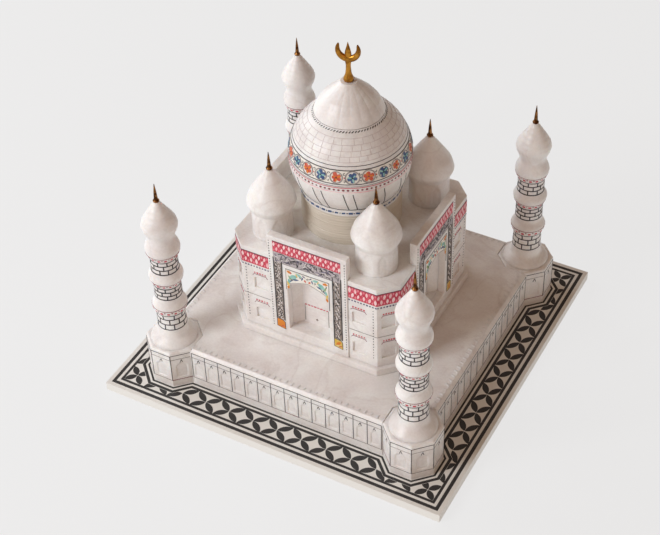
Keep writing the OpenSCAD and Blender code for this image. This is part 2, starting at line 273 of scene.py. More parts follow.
    def _border_stars(
        self, tree: bpy.types.NodeTree, place: bpy.types.NodeSocket, base: bpy.types.Node
    ) -> bpy.types.Node:
        """Tint the pale stones between the black petals, each star its own shade.

        Args:
            tree: The material's tree.
            place: Object coordinates.
            base: The colour so far.

        Returns:
            The tinted colour.
        """
        inner, outer, pitch = (value * MM for value in self.tinted_border)
        axes = add_node(tree, "ShaderNodeSeparateXYZ", {0: place}).outputs
        x = add_node(tree, "ShaderNodeMath", {0: axes[0]}, operation="ABSOLUTE")
        y = add_node(tree, "ShaderNodeMath", {0: axes[1]}, operation="ABSOLUTE")
        far = add_node(tree, "ShaderNodeMath", {0: x, 1: y}, operation="MAXIMUM")
        past = add_node(tree, "ShaderNodeMath", {0: far, 1: inner}, operation="GREATER_THAN")
        short = add_node(tree, "ShaderNodeMath", {0: far, 1: outer}, operation="LESS_THAN")
        inside = add_node(tree, "ShaderNodeMath", {0: past, 1: short}, operation="MULTIPLY")
        cells = add_node(
            tree, "ShaderNodeVectorMath", {0: place, 1: (pitch, pitch, 1.0)}, operation="SNAP"
        )
        shade = add_node(tree, "ShaderNodeTexWhiteNoise", {"Vector": cells})
        tint = add_node(
            tree, "ShaderNodeValToRGB", {"Fac": shade},
            (
                (0.0, "#BCC3B8"), (0.3, "#CBC9C2"), (0.5, "#B5A67C"), (0.7, "#C6B6AF"),
                (0.9, "#B9C0B4")
            ),
        )
        return add_node(
            tree, "ShaderNodeMix", {0: inside, 6: base, 7: tint},
            data_type="RGBA", blend_type="MULTIPLY",
        )


@dataclass(frozen=True)
class Enamel:
    """Thin oil enamel laid on with a fine brush: slightly uneven, with a low satin gloss."""

    name: str
    colour: str
    worn: str
    patch_mm: float = 2.0
    gloss: float = 0.45

    def material(self) -> bpy.types.Material:
        """Build the paint's node material.

        Returns:
            The material.
        """
        mat, tree, place = new_material(self.name)
        patches = add_node(
            tree, "ShaderNodeTexNoise",
            {"Vector": place, "Scale": 1 / (self.patch_mm * MM), "Detail": 3.0},
        )
        base = add_node(
            tree, "ShaderNodeValToRGB", {"Fac": patches}, ((0.40, self.colour), (0.75, self.worn))
        )
        bump = add_node(
            tree, "ShaderNodeBump", {"Height": patches, "Strength": 0.3, "Distance": 0.03 * MM}
        )
        shader = add_node(
            tree, "ShaderNodeBsdfPrincipled",
            {"Base Color": base, "Normal": bump, "Roughness": self.gloss},
        )
        add_node(tree, "ShaderNodeOutputMaterial", {"Surface": shader})
        return mat


@dataclass(frozen=True)
class BlackStone:
    """Black marble let in flush and polished with the slab: deep black, with a few pale hairs."""

    name: str
    deep: str = "#0B0A09"
    hair: str = "#4A443C"
    hair_mm: float = 7.0

    def material(self) -> bpy.types.Material:
        """Build the black stone's node material.

        Returns:
            The material.
        """
        mat, tree, place = new_material(self.name)
        drift = add_node(
            tree, "ShaderNodeTexNoise",
            {"Vector": place, "Scale": 1 / (self.hair_mm * MM), "Detail": 8.0, "Distortion": 2.0},
        )
        offset = add_node(tree, "ShaderNodeMath", {0: drift, 1: 0.5}, operation="SUBTRACT")
        line = add_node(tree, "ShaderNodeMath", {0: offset}, operation="ABSOLUTE")
        wide = add_node(tree, "ShaderNodeMath", {0: line, 1: 30.0}, operation="MULTIPLY")
        hair = add_node(
            tree, "ShaderNodeValToRGB", {"Fac": wide}, ((0.0, self.hair), (0.35, self.deep))
        )
        rough = add_node(
            tree, "ShaderNodeMapRange", {"Value": drift, "To Min": 0.24, "To Max": 0.42}
        )
        shader = add_node(
            tree, "ShaderNodeBsdfPrincipled", {"Base Color": hair, "Roughness": rough, "IOR": 1.5}
        )
        add_node(tree, "ShaderNodeOutputMaterial", {"Surface": shader})
        return mat


@dataclass(frozen=True)
class AgedBrass:
    """Filed brass, never lacquered: gold where it is handled, brown where it has tarnished."""

    name: str
    bright: str
    tarnish: str
    patch_mm: float = 1.6
    # file marks run round the piece, drawn at a third of a millimetre so that they show
    mark_mm: float = 0.35

    def material(self) -> bpy.types.Material:
        """Build the brass's node material.

        Returns:
            The material.
        """
        mat, tree, place = new_material(self.name)
        patches = add_node(
            tree, "ShaderNodeTexNoise",
            {"Vector": place, "Scale": 1 / (self.patch_mm * MM), "Detail": 4.0},
        )
        base = add_node(
            tree, "ShaderNodeValToRGB", {"Fac": patches},
            ((0.40, self.tarnish), (0.58, self.bright)),
        )
        rough = add_node(
            tree, "ShaderNodeMapRange", {"Value": patches, "To Min": 0.46, "To Max": 0.26}
        )
        marks = add_node(tree, "ShaderNodeMapping", {"Vector": place, "Scale": (0.15, 0.15, 1.0)})
        scratches = add_node(
            tree, "ShaderNodeTexNoise",
            {"Vector": marks, "Scale": 1 / (self.mark_mm * MM), "Detail": 2.0},
        )
        bump = add_node(
            tree, "ShaderNodeBump", {"Height": scratches, "Strength": 0.35, "Distance": 0.05 * MM}
        )
        shader = add_node(
            tree, "ShaderNodeBsdfPrincipled",
            {"Base Color": base, "Roughness": rough, "Normal": bump, "Metallic": 1.0},
        )
        add_node(tree, "ShaderNodeOutputMaterial", {"Surface": shader})
        return mat


class Finish(Enum):
    """Every finish on the object, named for what it is made of, save one: the painted shade of the
    dome's incised brick joints.
    """

    ALABASTER = Stone("white_alabaster", "#F5F4F1", "#EAE5E2", "#DAD2CD")
    CREAM = Stone(
        "cream_alabaster", "#F0E4D8", "#E2D3C4", "#C9B7A2", glow=0.4, lathe_mm=0.55, gloss=0.4
    )
    MARBLE = Stone(
        "white_marble", "#F0EEEA", "#E2DFD8", "#C9C4BC", vein_mm=40.0, vein_share=0.5,
        glow=0.12, glow_mm=1.2, gloss=0.28, tinted_border=(62.7, 70.5, 11.1),
    )
    BLACK_STONE = BlackStone("black_stone")
    BRASS = AgedBrass("aged_brass", "#C08836", "#84561F", 3.0)
    PIN_BRASS = AgedBrass("tarnished_brass", "#96683A", "#4A2C16")
    BLACK = Enamel("black_enamel", "#1D1B1E", "#3D393C")
    GREY = Enamel("brown_grey_enamel", "#83776F", "#A2968D", 1.2)
    SILVER = Enamel("silver_grey_enamel", "#ADA5A8", "#CCC5C5", 1.2)
    RED = Enamel("red_enamel", "#C42C46", "#DA5468")
    MAROON = Enamel("maroon_enamel", "#7A2636", "#94434F")
    PINK = Enamel("pink_enamel", "#F7DCDC", "#F0B4BA")
    ROSE = Enamel("rose_enamel", "#E8919B", "#E06C7C")
    WHITE = Enamel("white_enamel", "#E9E4E0", "#D9D3D0")
    BLUE = Enamel("blue_enamel", "#2F4A78", "#57719A")
    VIOLET = Enamel("violet_enamel", "#4C4468", "#77708F")
    ORANGE = Enamel("orange_enamel", "#E08A1C", "#D9741E")
    VERMILION = Enamel("vermilion_enamel", "#C4472F", "#DA7A5F")
    YELLOW = Enamel("yellow_enamel", "#D9B845", "#E6D28A")
    TURQUOISE = Enamel("turquoise_enamel", "#7FBDB4", "#A9D3CB")
    GREEN = Enamel("green_enamel", "#7E9A55", "#A5B883")
    CREAM_PAINT = Enamel("cream_enamel", "#F2EEE6", "#E6E2D6")
    # painted shade: faint grey-pink lines that stand for the shadow in the dome's incised brick
    # joints
    PENCIL = Enamel("faint_pencil", "#C9BDBC", "#DDD3D1")
    SLATE = Enamel("slate_pencil", "#8D8684", "#ADA6A3")

    def material(self) -> bpy.types.Material:
        """Return this finish's material, made on first use."""
        return bpy.data.materials.get(self.value.name) or self.value.material()


# ---- surfaces that marks are laid on ----


class Surface:
    """A surface with its own two coordinates, seen from outside: u runs right and v runs up."""

    def frame(self, u: float, v: float) -> tuple[Vector, Vector, Vector]:
        """Return the place at (u, v), the direction of u there, and the outward normal."""
        raise NotImplementedError

    def at(self, u: float, v: float, lift: float = 0.0) -> Vector:
        """Return the place at (u, v), raised off the surface by lift."""
        place, _, out = self.frame(u, v)
        return place + out * lift


@dataclass(frozen=True)
class Face(Surface):
    """An upright flat face at a distance from a centre. u starts at its middle, v is the height."""

    angle: float
    distance: float
    centre: tuple[float, float] = (0.0, 0.0)

    def frame(self, u: float, v: float) -> tuple[Vector, Vector, Vector]:
        """Find a place on the face.

        Args:
            u: How far right of the face's middle it is.
            v: Its height.

        Returns:
            The place, the direction to the right and the outward normal.
        """
        turn = math.radians(self.angle)
        out = Vector((math.cos(turn), math.sin(turn), 0))
        along = Vector((-math.sin(turn), math.cos(turn), 0))
        place = out * self.distance + along * u + Vector((0, 0, v))
        return place + Vector((*self.centre, 0)), along, out


@dataclass(frozen=True)
class Turned(Surface):
    """A turned surface round an upright axis. u is the angle in degrees and v is the height."""

    centre: tuple[float, float]
    heights: np.ndarray
    radii: np.ndarray

    def radius(self, z: float | np.ndarray) -> float | np.ndarray:
        """Return the radius at a height."""
        return np.interp(z, self.heights, self.radii)

    def frame(self, u: float, v: float) -> tuple[Vector, Vector, Vector]:
        """Find a place on the turned surface.

        Args:
            u: Its angle in degrees.
            v: Its height.

        Returns:
            The place, the direction round to the right and the outward normal.
        """
        turn = math.radians(u)
        step = 0.3
        rise = float(self.radius(v + step) - self.radius(v - step)) / (2 * step)
        spoke = Vector((math.cos(turn), math.sin(turn), 0))
        out = (spoke - Vector((0, 0, rise))).normalized()
        place = spoke * float(self.radius(v)) + Vector((*self.centre, v))
        return place, Vector((-math.sin(turn), math.cos(turn), 0)), out


def node_box(name: str) -> tuple[Vector, Vector]:
    """Return a node's lowest and highest corners in millimetres."""
    low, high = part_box(name)
    return low / MM, high / MM


def turned_profile(name: str, foot: float, smooth_mm: float = 1.2) -> Turned:
    """Read the outer outline of a turned node.

    Args:
        name: The node.
        foot: The height that the outline starts at.
        smooth_mm: How far the outline's corners are rounded, along its height.

    Returns:
        The turned surface, sampled finely and with its corners rounded.
    """
    low, high = node_box(name)
    centre = ((low.x + high.x) / 2, (low.y + high.y) / 2)
    points = np.array([v.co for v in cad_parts[name].data.vertices]) / MM
    reach = np.hypot(points[:, 0] - centre[0], points[:, 1] - centre[1])
    points, reach = points[reach > PIN_BORE_R], reach[reach > PIN_BORE_R]
    levels = np.unique(np.round(points[:, 2], 3))
    levels = levels[levels >= foot - 0.001]
    rims = np.array([reach[np.abs(points[:, 2] - z) < 0.002].max() for z in levels])
    step = 0.1
    fine = np.arange(levels[0], levels[-1], step)
    outline = np.interp(fine, levels, rims)
    half = max(1, round(smooth_mm / step / 2))
    weights = np.hanning(2 * half + 1)
    padded = np.concatenate((
        2 * outline[0] - outline[half:0:-1], outline, 2 * outline[-1] - outline[-2 : -half - 2 : -1]
    ))
    smooth = np.convolve(padded, weights / weights.sum(), mode="valid")
    return Turned(centre, fine, smooth)


# ---- meshes ----


class Draft:
    """Points in millimetres and faces of one piece while it is being made."""

    def __init__(self) -> None:
        """Start with nothing."""
        self.points: list[Sequence[float]] = []
        self.faces: list[tuple[int, ...]] = []

    def rings(self, rows: np.ndarray, closed_ends: bool = True) -> None:
        """Join rings of points, each the same length, into a tube.

        Args:
            rows: An array of rings, ordered upwards, each running to the right seen from outside.
            closed_ends: Whether the first and last rings are capped.
        """
        count, around = rows.shape[:2]
        start = len(self.points)
        self.points.extend(rows.reshape(-1, 3).tolist())
        for i in range(count - 1):
            for j in range(around):
                a = start + i * around + j
                b = start + i * around + (j + 1) % around
                self.faces.append((a, b, b + around, a + around))
        if closed_ends:
            last = start + (count - 1) * around
            self.faces.append(tuple(range(start + around - 1, start - 1, -1)))
            self.faces.append(tuple(range(last, last + around)))

    def slab(self, top: Sequence[Vector], bottom: Sequence[Vector]) -> None:
        """Add a closed flat piece between two matching outlines.

        Args:
            top: The upper outline, anticlockwise seen from above.
            bottom: The lower outline, point for point below it.
        """
        count = len(top)
        start = len(self.points)
        self.points.extend([*top, *bottom])
        self.faces.append(tuple(range(start, start + count)))
        self.faces.append(tuple(range(start + 2 * count - 1, start + count - 1, -1)))
        for i in range(count):
            j = (i + 1) % count
            self.faces.append((start + count + i, start + count + j, start + j, start + i))

    def mesh(self, name: str) -> bpy.types.Mesh:
        """Turn the draft to a mesh.

        Args:
            name: The mesh's name.

        Returns:
            The mesh, in metres.
        """
        mesh = bpy.data.meshes.new(name)
        mesh.from_pydata([tuple(c * MM for c in p) for p in self.points], [], self.faces)
        mesh.validate()
        return mesh


def place_piece(
    mesh: bpy.types.Mesh,
    finish: Finish,
    body: str = MODEL_BODY,
    replaces: Iterable[str] = (),
    smooth: bool = True,
) -> bpy.types.Object:
    """Make an object of a mesh that is already in place, and tie it to the frame.

    Args:
        mesh: The mesh, in metres, which has the piece's name.
        finish: Its finish.
        body: The body that it moves with.
        replaces: The nodes that it stands for.
        smooth: Whether it is shaded smooth up to sharp edges.

    Returns:
        The object.
    """
    piece = bpy.data.objects.new(mesh.name, mesh)
    bpy.context.scene.collection.objects.link(piece)
    mesh.materials.clear()
    mesh.materials.append(finish.material())
    if smooth:
        mesh.shade_smooth()
        mesh.set_sharp_from_angle(angle=math.radians(35))
    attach(piece, body)
    nodes = tuple(replaces)
    if nodes:
        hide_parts(*nodes)
    LOG.info("%s: %d faces on %s", mesh.name, len(mesh.polygons), body)
    return piece


def full_turn(segments: int) -> np.ndarray:
    """Return the angles of evenly spaced points round a piece."""
    return np.linspace(0, 2 * math.pi, segments, endpoint=False)


def level_ring(
    centre: tuple[float, float], radius: float | np.ndarray, z: float, turns: np.ndarray
) -> np.ndarray:
    """Lay out one level ring of points.

    Args:
        centre: The ring's middle.
        radius: Its radius, or the radius at each point.
        z: Its height.
        turns: The angle of each point.

    Returns:
        The points, as an array.
    """
    x = centre[0] + radius * np.cos(turns)
    y = centre[1] + radius * np.sin(turns)
    return np.stack([x, y, np.full(len(turns), z)], axis=1)


def lathe_rows(
    surface: Turned,
    heights: np.ndarray,
    segments: int,
    relief: Callable[[np.ndarray, float], np.ndarray] | None = None,
) -> np.ndarray:
    """Turn an outline into rings of points.

    Args:
        surface: The turned surface.
        heights: The height of each ring.
        segments: How many points each ring has.
        relief: A function of the angles and a height that gives how far the surface stands out.

    Returns:
        The rings, as an array of height, point and coordinate.
    """
    turns = full_turn(segments)
    return np.array([
        level_ring(
            surface.centre, surface.radius(z) + (relief(turns, z) if relief else 0.0), z, turns
        )
        for z in heights
    ])


def softened(node: str, width_mm: float, finish: Finish, name: str) -> bpy.types.Object:
    """Make a copy of a node with its edges rubbed round, which stands for the node.

    Args:
        node: The node.
        width_mm: How wide the rounding is.
        finish: The stone.
        name: The new piece's name.

    Returns:
        The new piece.
    """
    work = bmesh.new()
    work.from_mesh(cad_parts[node].data)
    bmesh.ops.remove_doubles(work, verts=work.verts, dist=0.002 * MM)
    bmesh.ops.dissolve_limit(
        work, angle_limit=math.radians(1), verts=work.verts, edges=work.edges, delimit={"NORMAL"}
    )
    mesh = bpy.data.meshes.new(name)
    work.to_mesh(mesh)
    work.free()
    piece = place_piece(mesh, finish, smooth=False)
    bevel = piece.modifiers.new("rubbed_edges", "BEVEL")
    bevel.width = width_mm * MM
    bevel.segments = 3
    bevel.limit_method = "ANGLE"
    bevel.angle_limit = math.radians(30)
    bevel.use_clamp_overlap = True
    bevel.harden_normals = True
    bpy.context.view_layer.update()
    baked = bpy.data.meshes.new_from_object(
        piece.evaluated_get(bpy.context.evaluated_depsgraph_get())
    )
    piece.modifiers.clear()
    piece.data = baked
    baked.name = name
    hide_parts(node)
    return piece


# ---- stamps and brushwork ----


def ellipse(rx: float, ry: float, count: int) -> list[Point]:
    """Draw an ellipse.

    Args:
        rx: Half its length along u.
        ry: Half its height along v.
        count: How many points it has.

    Returns:
        The outline, anticlockwise.
    """
    return [
        (rx * math.cos(2 * math.pi * k / count), ry * math.sin(2 * math.pi * k / count))
        for k in range(count)
    ]


def leaf_outline(length: float, width: float, steps: int = 5) -> list[Point]:
    """Draw a leaf pointed at both ends, along u.

    Args:
        length: From tip to tip.
        width: Across the middle.
        steps: How many points each edge has.

    Returns:
        The outline, anticlockwise.
    """
    lower = [
        (-length / 2 + length * k / steps, -width / 2 * math.sin(math.pi * k / steps))
        for k in range(steps)
    ]
    upper = [(-u, -v) for u, v in lower]
    return lower + upper


def line_outline(points: Sequence[Point], width: float) -> list[Point]:
    """Give a line through points its width.

    Args:
        points: The points.
        width: How wide the brush is.

    Returns:
        The line's outline, anticlockwise.
    """
    right, left = [], []
    for i, (u, v) in enumerate(points):
        u0, v0 = points[max(i - 1, 0)]
        u1, v1 = points[min(i + 1, len(points) - 1)]
        length = math.hypot(u1 - u0, v1 - v0)
        nu, nv = (v1 - v0) / length * width / 2, -(u1 - u0) / length * width / 2
        right.append((u + nu, v + nv))
        left.append((u - nu, v - nv))
    return right + left[::-1]


class Stamp(Enum):
    """Shapes that a fine brush leaves again and again, about a millimetre across."""

    DOT = "dot"
    DASH = "dash"
    DIAMOND = "diamond"
    LEAF = "leaf"
    PETAL = "petal"
    CURL = "curl"
    LOOP = "loop"
    CARET = "caret"
    TICK = "tick"

    def outlines(self) -> list[list[Point]]:
        """Draw the stamp in a frame one unit wide.

        Returns:
            Its outlines, each anticlockwise.
        """
        if self is Stamp.DOT:
            return [ellipse(0.5, 0.5, 8)]
        if self is Stamp.DASH:
            return [[(-0.5, -0.3), (-0.4, -0.5), (0.4, -0.5), (0.5, -0.3),
                     (0.5, 0.3), (0.4, 0.5), (-0.4, 0.5), (-0.5, 0.3)]]
        if self is Stamp.DIAMOND:
            return [[(-0.5, 0), (0, -0.5), (0.5, 0), (0, 0.5)]]
        if self is Stamp.LEAF:
            return [leaf_outline(1.0, 1.0)]
        if self is Stamp.PETAL:
            return [
                [(0, -0.1), (0.5, -0.35), (0.9, -0.3), (1.0, 0), (0.9, 0.3), (0.5, 0.35), (0, 0.1)]
            ]
        if self is Stamp.CURL:
            hook = [
                (0.5 * math.cos(t) * (1 - 0.1 * t), 0.5 * math.sin(t) * (1 - 0.1 * t))
                for t in np.linspace(0, 4.6, 10)
            ]
            return [line_outline(hook, 0.2)]
        # what is left is the caret
        return [
            line_outline([(-0.5, -0.5), (-0.2, 0.1), (0.05, 0.5)], 0.2),
            line_outline([(0.05, 0.5), (0.25, 0.0), (0.5, -0.45)], 0.2),
        ]

    def build(self, under: float, over: float) -> bpy.types.Object:
        """Make the stamp as a thin raised piece.

        Args:
            under: How far it goes below the surface.
            over: How far it stands above the surface.

        Returns:
            An object that marks are copied from.
        """
        draft = Draft()
        if self is Stamp.LOOP:
            outer, inner = ellipse(0.5, 0.5, 16), ellipse(0.42, 0.42, 16)
            rows = [(inner, -under), (outer, -under), (outer, over), (inner, over), (inner, -under)]
            draft.rings(
                np.array([[(u, v, z) for u, v in ring] for ring, z in rows]), closed_ends=False
            )
        elif self is Stamp.TICK:
            foot = [(-0.5, -0.5), (0.5, -0.5), (0.5, 0.5), (-0.5, 0.5)]
            peak = [(-0.25, -0.3), (0.25, -0.3), (0.12, 0.3), (-0.12, 0.3)]
            draft.slab(
                [Vector((u, v, over)) for u, v in peak], [Vector((u, v, -under)) for u, v in foot]
            )
        else:
            for outline in self.outlines():
                draft.slab(
                    [Vector((u, v, over)) for u, v in outline],
                    [Vector((u, v, -under)) for u, v in outline],
                )
        # a mark's size scales it in the plane only, as its third measure is one
        stamp = bpy.data.objects.new(f"stamp_{self.value}", draft.mesh(f"stamp_{self.value}"))
        bpy.context.scene.collection.objects.link(stamp)
        return stamp


@dataclass(frozen=True)
class Mark:
    """One stamp's place, direction, normal and size."""

    place: Vector
    along: Vector
    out: Vector
    size: tuple[float, float, float]


class StampTree:
    """Geometry Nodes that copy a stamp to every point, turned to the surface there."""

    INPUTS = (
        ("Stamp", "NodeSocketObject"),
        ("Seed", "NodeSocketInt"),
        ("Turn spread", "NodeSocketFloat"),
        ("Size spread", "NodeSocketFloat"),
        ("Paint", "NodeSocketMaterial"),
    )

    def __init__(self) -> None:
        """Build the tree with its named inputs."""
        tree = bpy.data.node_groups.new("stamp_on_points", "GeometryNodeTree")
        tree.interface.new_socket("Geometry", in_out="INPUT", socket_type="NodeSocketGeometry")
        self.sockets = {
            name: tree.interface.new_socket(name, in_out="INPUT", socket_type=kind).identifier
            for name, kind in self.INPUTS
        }
        tree.interface.new_socket("Geometry", in_out="OUTPUT", socket_type="NodeSocketGeometry")
        given = add_node(tree, "NodeGroupInput").outputs
        along, out, size = (
            add_node(
                tree, "GeometryNodeInputNamedAttribute", {"Name": name}, data_type="FLOAT_VECTOR"
            ).outputs["Attribute"]
            for name in ("along", "out", "size")
        )
        facing = add_node(
            tree,
            "FunctionNodeAxesToRotation",
            {"Primary Axis": out, "Secondary Axis": along},
            primary_axis="Z",
            secondary_axis="X",
        ).outputs["Rotation"]
        spin = self._spread(tree, given["Turn spread"], given["Seed"], 0.0)
        turn = add_node(
            tree,
            "FunctionNodeEulerToRotation",
            {"Euler": add_node(tree, "ShaderNodeCombineXYZ", {"Z": spin}).outputs[0]},
        ).outputs["Rotation"]
        turned = add_node(
            tree,
            "FunctionNodeRotateRotation",
            {"Rotation": facing, "Rotate By": turn},
            rotation_space="LOCAL",
        ).outputs["Rotation"]
        grow = self._spread(tree, given["Size spread"], given["Seed"], 1.0)
        sized = add_node(
            tree, "ShaderNodeVectorMath", {0: size, "Scale": grow}, operation="SCALE"
        ).outputs[0]
        source = add_node(
            tree, "GeometryNodeObjectInfo", {"Object": given["Stamp"], "As Instance": True}
        ).outputs["Geometry"]
        copies = add_node(
            tree,
            "GeometryNodeInstanceOnPoints",
            {"Points": given["Geometry"], "Instance": source, "Rotation": turned, "Scale": sized},
        ).outputs["Instances"]
        real = add_node(
            tree, "GeometryNodeRealizeInstances", {"Geometry": copies}
        ).outputs["Geometry"]
        painted = add_node(
            tree, "GeometryNodeSetMaterial", {"Geometry": real, "Material": given["Paint"]}
        ).outputs["Geometry"]
        add_node(tree, "NodeGroupOutput", {0: painted})
        self.tree = tree

    @staticmethod
    def _spread(
        tree: bpy.types.NodeTree,
        reach: bpy.types.NodeSocket,
        seed: bpy.types.NodeSocket,
        middle: float,
    ) -> bpy.types.NodeSocket:
        """Add a random value for each point.

        Args:
            tree: The stamping tree.
            reach: How far either side of the middle the value may be.
            seed: The seed.
            middle: The middle, which also keeps this value's draws apart from the others'.

        Returns:
            The value's socket.
        """
        low = add_node(tree, "ShaderNodeMath", {0: middle, 1: reach}, operation="SUBTRACT")
        high = add_node(tree, "ShaderNodeMath", {0: middle, 1: reach}, operation="ADD")
        seeded = add_node(tree, "ShaderNodeMath", {0: seed, 1: middle}, operation="ADD")
        node = add_node(
            tree, "FunctionNodeRandomValue", {2: low, 3: high, "Seed": seeded}, data_type="FLOAT"
        )
        return node.outputs[1]

    def run(
        self,
        marks: Sequence[Mark],
        stamp: bpy.types.Object,
        finish: Finish,
        seed: int,
        turn_spread: float,
        size_spread: float,
    ) -> bpy.types.Mesh:
        """Copy a stamp to each mark.

        Args:
            marks: The places.
            stamp: The object that is copied.
            finish: The paint.
            seed: The seed of the hand's unevenness.
            turn_spread: The most that a copy turns, in radians.
            size_spread: The most that a copy's size differs, as a share.

        Returns:
            A plain mesh of all the copies.
        """
        mesh = bpy.data.meshes.new("marks")
        mesh.from_pydata([mark.place * MM for mark in marks], [], [])
        for name, values in (
            ("along", [mark.along for mark in marks]),
            ("out", [mark.out for mark in marks]),
            ("size", [mark.size for mark in marks]),
        ):
            attribute = mesh.attributes.new(name, "FLOAT_VECTOR", "POINT")
            attribute.data.foreach_set("vector", np.array(values, np.float32).ravel())
        holder = bpy.data.objects.new("marks", mesh)
        bpy.context.scene.collection.objects.link(holder)
        modifier = holder.modifiers.new("stamps", "NODES")
        modifier.node_group = self.tree
        values = {
            "Stamp": stamp, "Seed": seed, "Turn spread": turn_spread,
            "Size spread": size_spread, "Paint": finish.material(),
        }
        for name, value in values.items():
            modifier[self.sockets[name]] = value
        bpy.context.view_layer.update()
        result = bpy.data.meshes.new_from_object(
            holder.evaluated_get(bpy.context.evaluated_depsgraph_get())
        )
        holder.modifiers.clear()
        bpy.data.objects.remove(holder)
        bpy.data.meshes.remove(mesh)
        return result


class Brushwork:
    """The painted work of one area: strokes and stamps, gathered in one piece for each colour."""

    LAYER = 0.035
    UNDER = 0.05

    def __init__(
        self, area: str, body: str, seed: int, tree: StampTree, over: float = 0.03
    ) -> None:
        """Start an area.

        Args:
            area: The area's name, which its pieces' names start with.
            body: The body that it moves with.
            seed: The seed of the hand's unevenness.
            tree: The stamping tree.
            over: How far a mark stands above its coat.
        """
        self.over = over
        self.area = area
        self.body = body
        self.seed = seed
        self.tree = tree
        self.hand = random.Random(seed)
        self.drafts: dict[Finish, Draft] = {}
        self.marks: dict[tuple[Finish, Stamp], list[Mark]] = {}

    def stamp(
        self,
        finish: Finish,
        kind: Stamp,
        surface: Surface,
        u: float,
        v: float,
        size: tuple[float, float],
        turn: float = 0.0,
        layer: int = 1,
    ) -> None:
        """Lay one stamp.

        Args:
            finish: The paint.
            kind: The stamp.
            surface: What it lies on.
            u: Where it lies, to the right.
            v: Where it lies, upwards.
            size: Its length and height in millimetres.
            turn: How far it is turned to the left, in degrees.
            layer: How many coats it lies above the stone.
        """
        place, along, out = surface.frame(u, v)
        bend = math.radians(turn)
        across = out.cross(along)
        mark = Mark(
            place + out * self.LAYER * layer,
            along * math.cos(bend) + across * math.sin(bend),
            out,
            (size[0], size[1], 1.0),
        )
        self.marks.setdefault((finish, kind), []).append(mark)

    def row(
        self,
        finish: Finish,
        kind: Stamp,
        surface: Surface,
        start: Point,
        end: Point,
        count: int,
        size: tuple[float, float],
        turn: float = 0.0,
        layer: int = 1,
    ) -> None:
        """Lay a row of stamps from start to end, both included.

        Args:
            finish: The paint.
            kind: The stamp.
            surface: What they lie on.
            start: The first place.
            end: The last place.
            count: How many there are.
            size: The length and height of each in millimetres.
            turn: How far each is turned to the left, in degrees.
            layer: How many coats they lie above the stone.
        """
        for k in range(count):
            t = k / max(count - 1, 1)
            u = start[0] + (end[0] - start[0]) * t
            v = start[1] + (end[1] - start[1]) * t
            self.stamp(finish, kind, surface, u, v, size, turn, layer)

    def ring(
        self,
        finish: Finish,
        kind: Stamp,
        surface: Turned,
        v: float,
        count: int,
        size: tuple[float, float],
        turn: float = 0.0,
        layer: int = 1,
        first: float = 0.0,
    ) -> None:
        """Lay stamps evenly round a turned piece at one height.

        Args:
            finish: The paint.
            kind: The stamp.
            surface: The turned piece's outline.
            v: The height.
            count: How many there are.
            size: The length and height of each in millimetres.
            turn: How far each is turned to the left, in degrees.
            layer: How many coats they lie above the stone.
            first: The angle of the first, in degrees.
        """
        for k in range(count):
            self.stamp(finish, kind, surface, first + 360 * k / count, v, size, turn, layer)

    def stroke(
        self,
        finish: Finish,
        surface: Surface,
        path: Sequence[Point],
        width: float,
        layer: int = 1,
        closed: bool = False,
        wobble: float = 0.04,
    ) -> None:
        """Draw a brush line along a path.

        Args:
            finish: The paint.
            surface: What it lies on.
            path: Its points.
            width: Its width in millimetres.
            layer: How many coats it lies above the stone.
            closed: Whether its last point joins its first.
            wobble: How far the hand strays across the line.
        """
        spots = [surface.frame(u, v) for u, v in path]
        count = len(spots)
        rows = []
        for i, (place, _, out) in enumerate(spots):
            before = spots[(i - 1) % count if closed else max(i - 1, 0)][0]
            after = spots[(i + 1) % count if closed else min(i + 1, count - 1)][0]
            side = out.cross(after - before).normalized() * width / 2
            middle = place + side.normalized() * self.hand.uniform(-wobble, wobble)
            high = out * (self.LAYER * layer + self.over)
            low = -out * self.UNDER
            rows.append(
                (
                    middle + side + high, middle + side + low, middle - side + low,
                    middle - side + high
                )
            )
        draft = self.drafts.setdefault(finish, Draft())
        if closed:
            rows.append(rows[0])
        draft.rings(np.array(rows), closed_ends=not closed)

    def straight(
        self, finish: Finish, surface: Surface, start: Point, end: Point, width: float,
        layer: int = 1, step: float = 3.0,
    ) -> None:
        """Draw a straight brush line, with points along it so that the hand shows.

        Args:
            finish: The paint.
            surface: What it lies on.
            start: Its first point.
            end: Its last point.
            width: Its width in millimetres.
            layer: How many coats it lies above the stone.
            step: About how far apart the points are.
        """
        count = max(2, round(math.hypot(end[0] - start[0], end[1] - start[1]) / step) + 1)
        path = [
            (
                start[0] + (end[0] - start[0]) * k / (count - 1),
                start[1] + (end[1] - start[1]) * k / (count - 1)
            )
            for k in range(count)
        ]
        self.stroke(finish, surface, path, width, layer)

    def hoop(
        self, finish: Finish, surface: Turned, v: float, width: float,
        layer: int = 1, count: int = 96,
    ) -> None:
        """Draw a level line all round a turned piece.

        Args:
            finish: The paint.
            surface: The turned piece's outline.
            v: The height.
            width: The line's width in millimetres.
            layer: How many coats it lies above the stone.
            count: How many points it has.
        """
        path = [(360 * k / count, v) for k in range(count)]
        self.stroke(finish, surface, path, width, layer, closed=True)

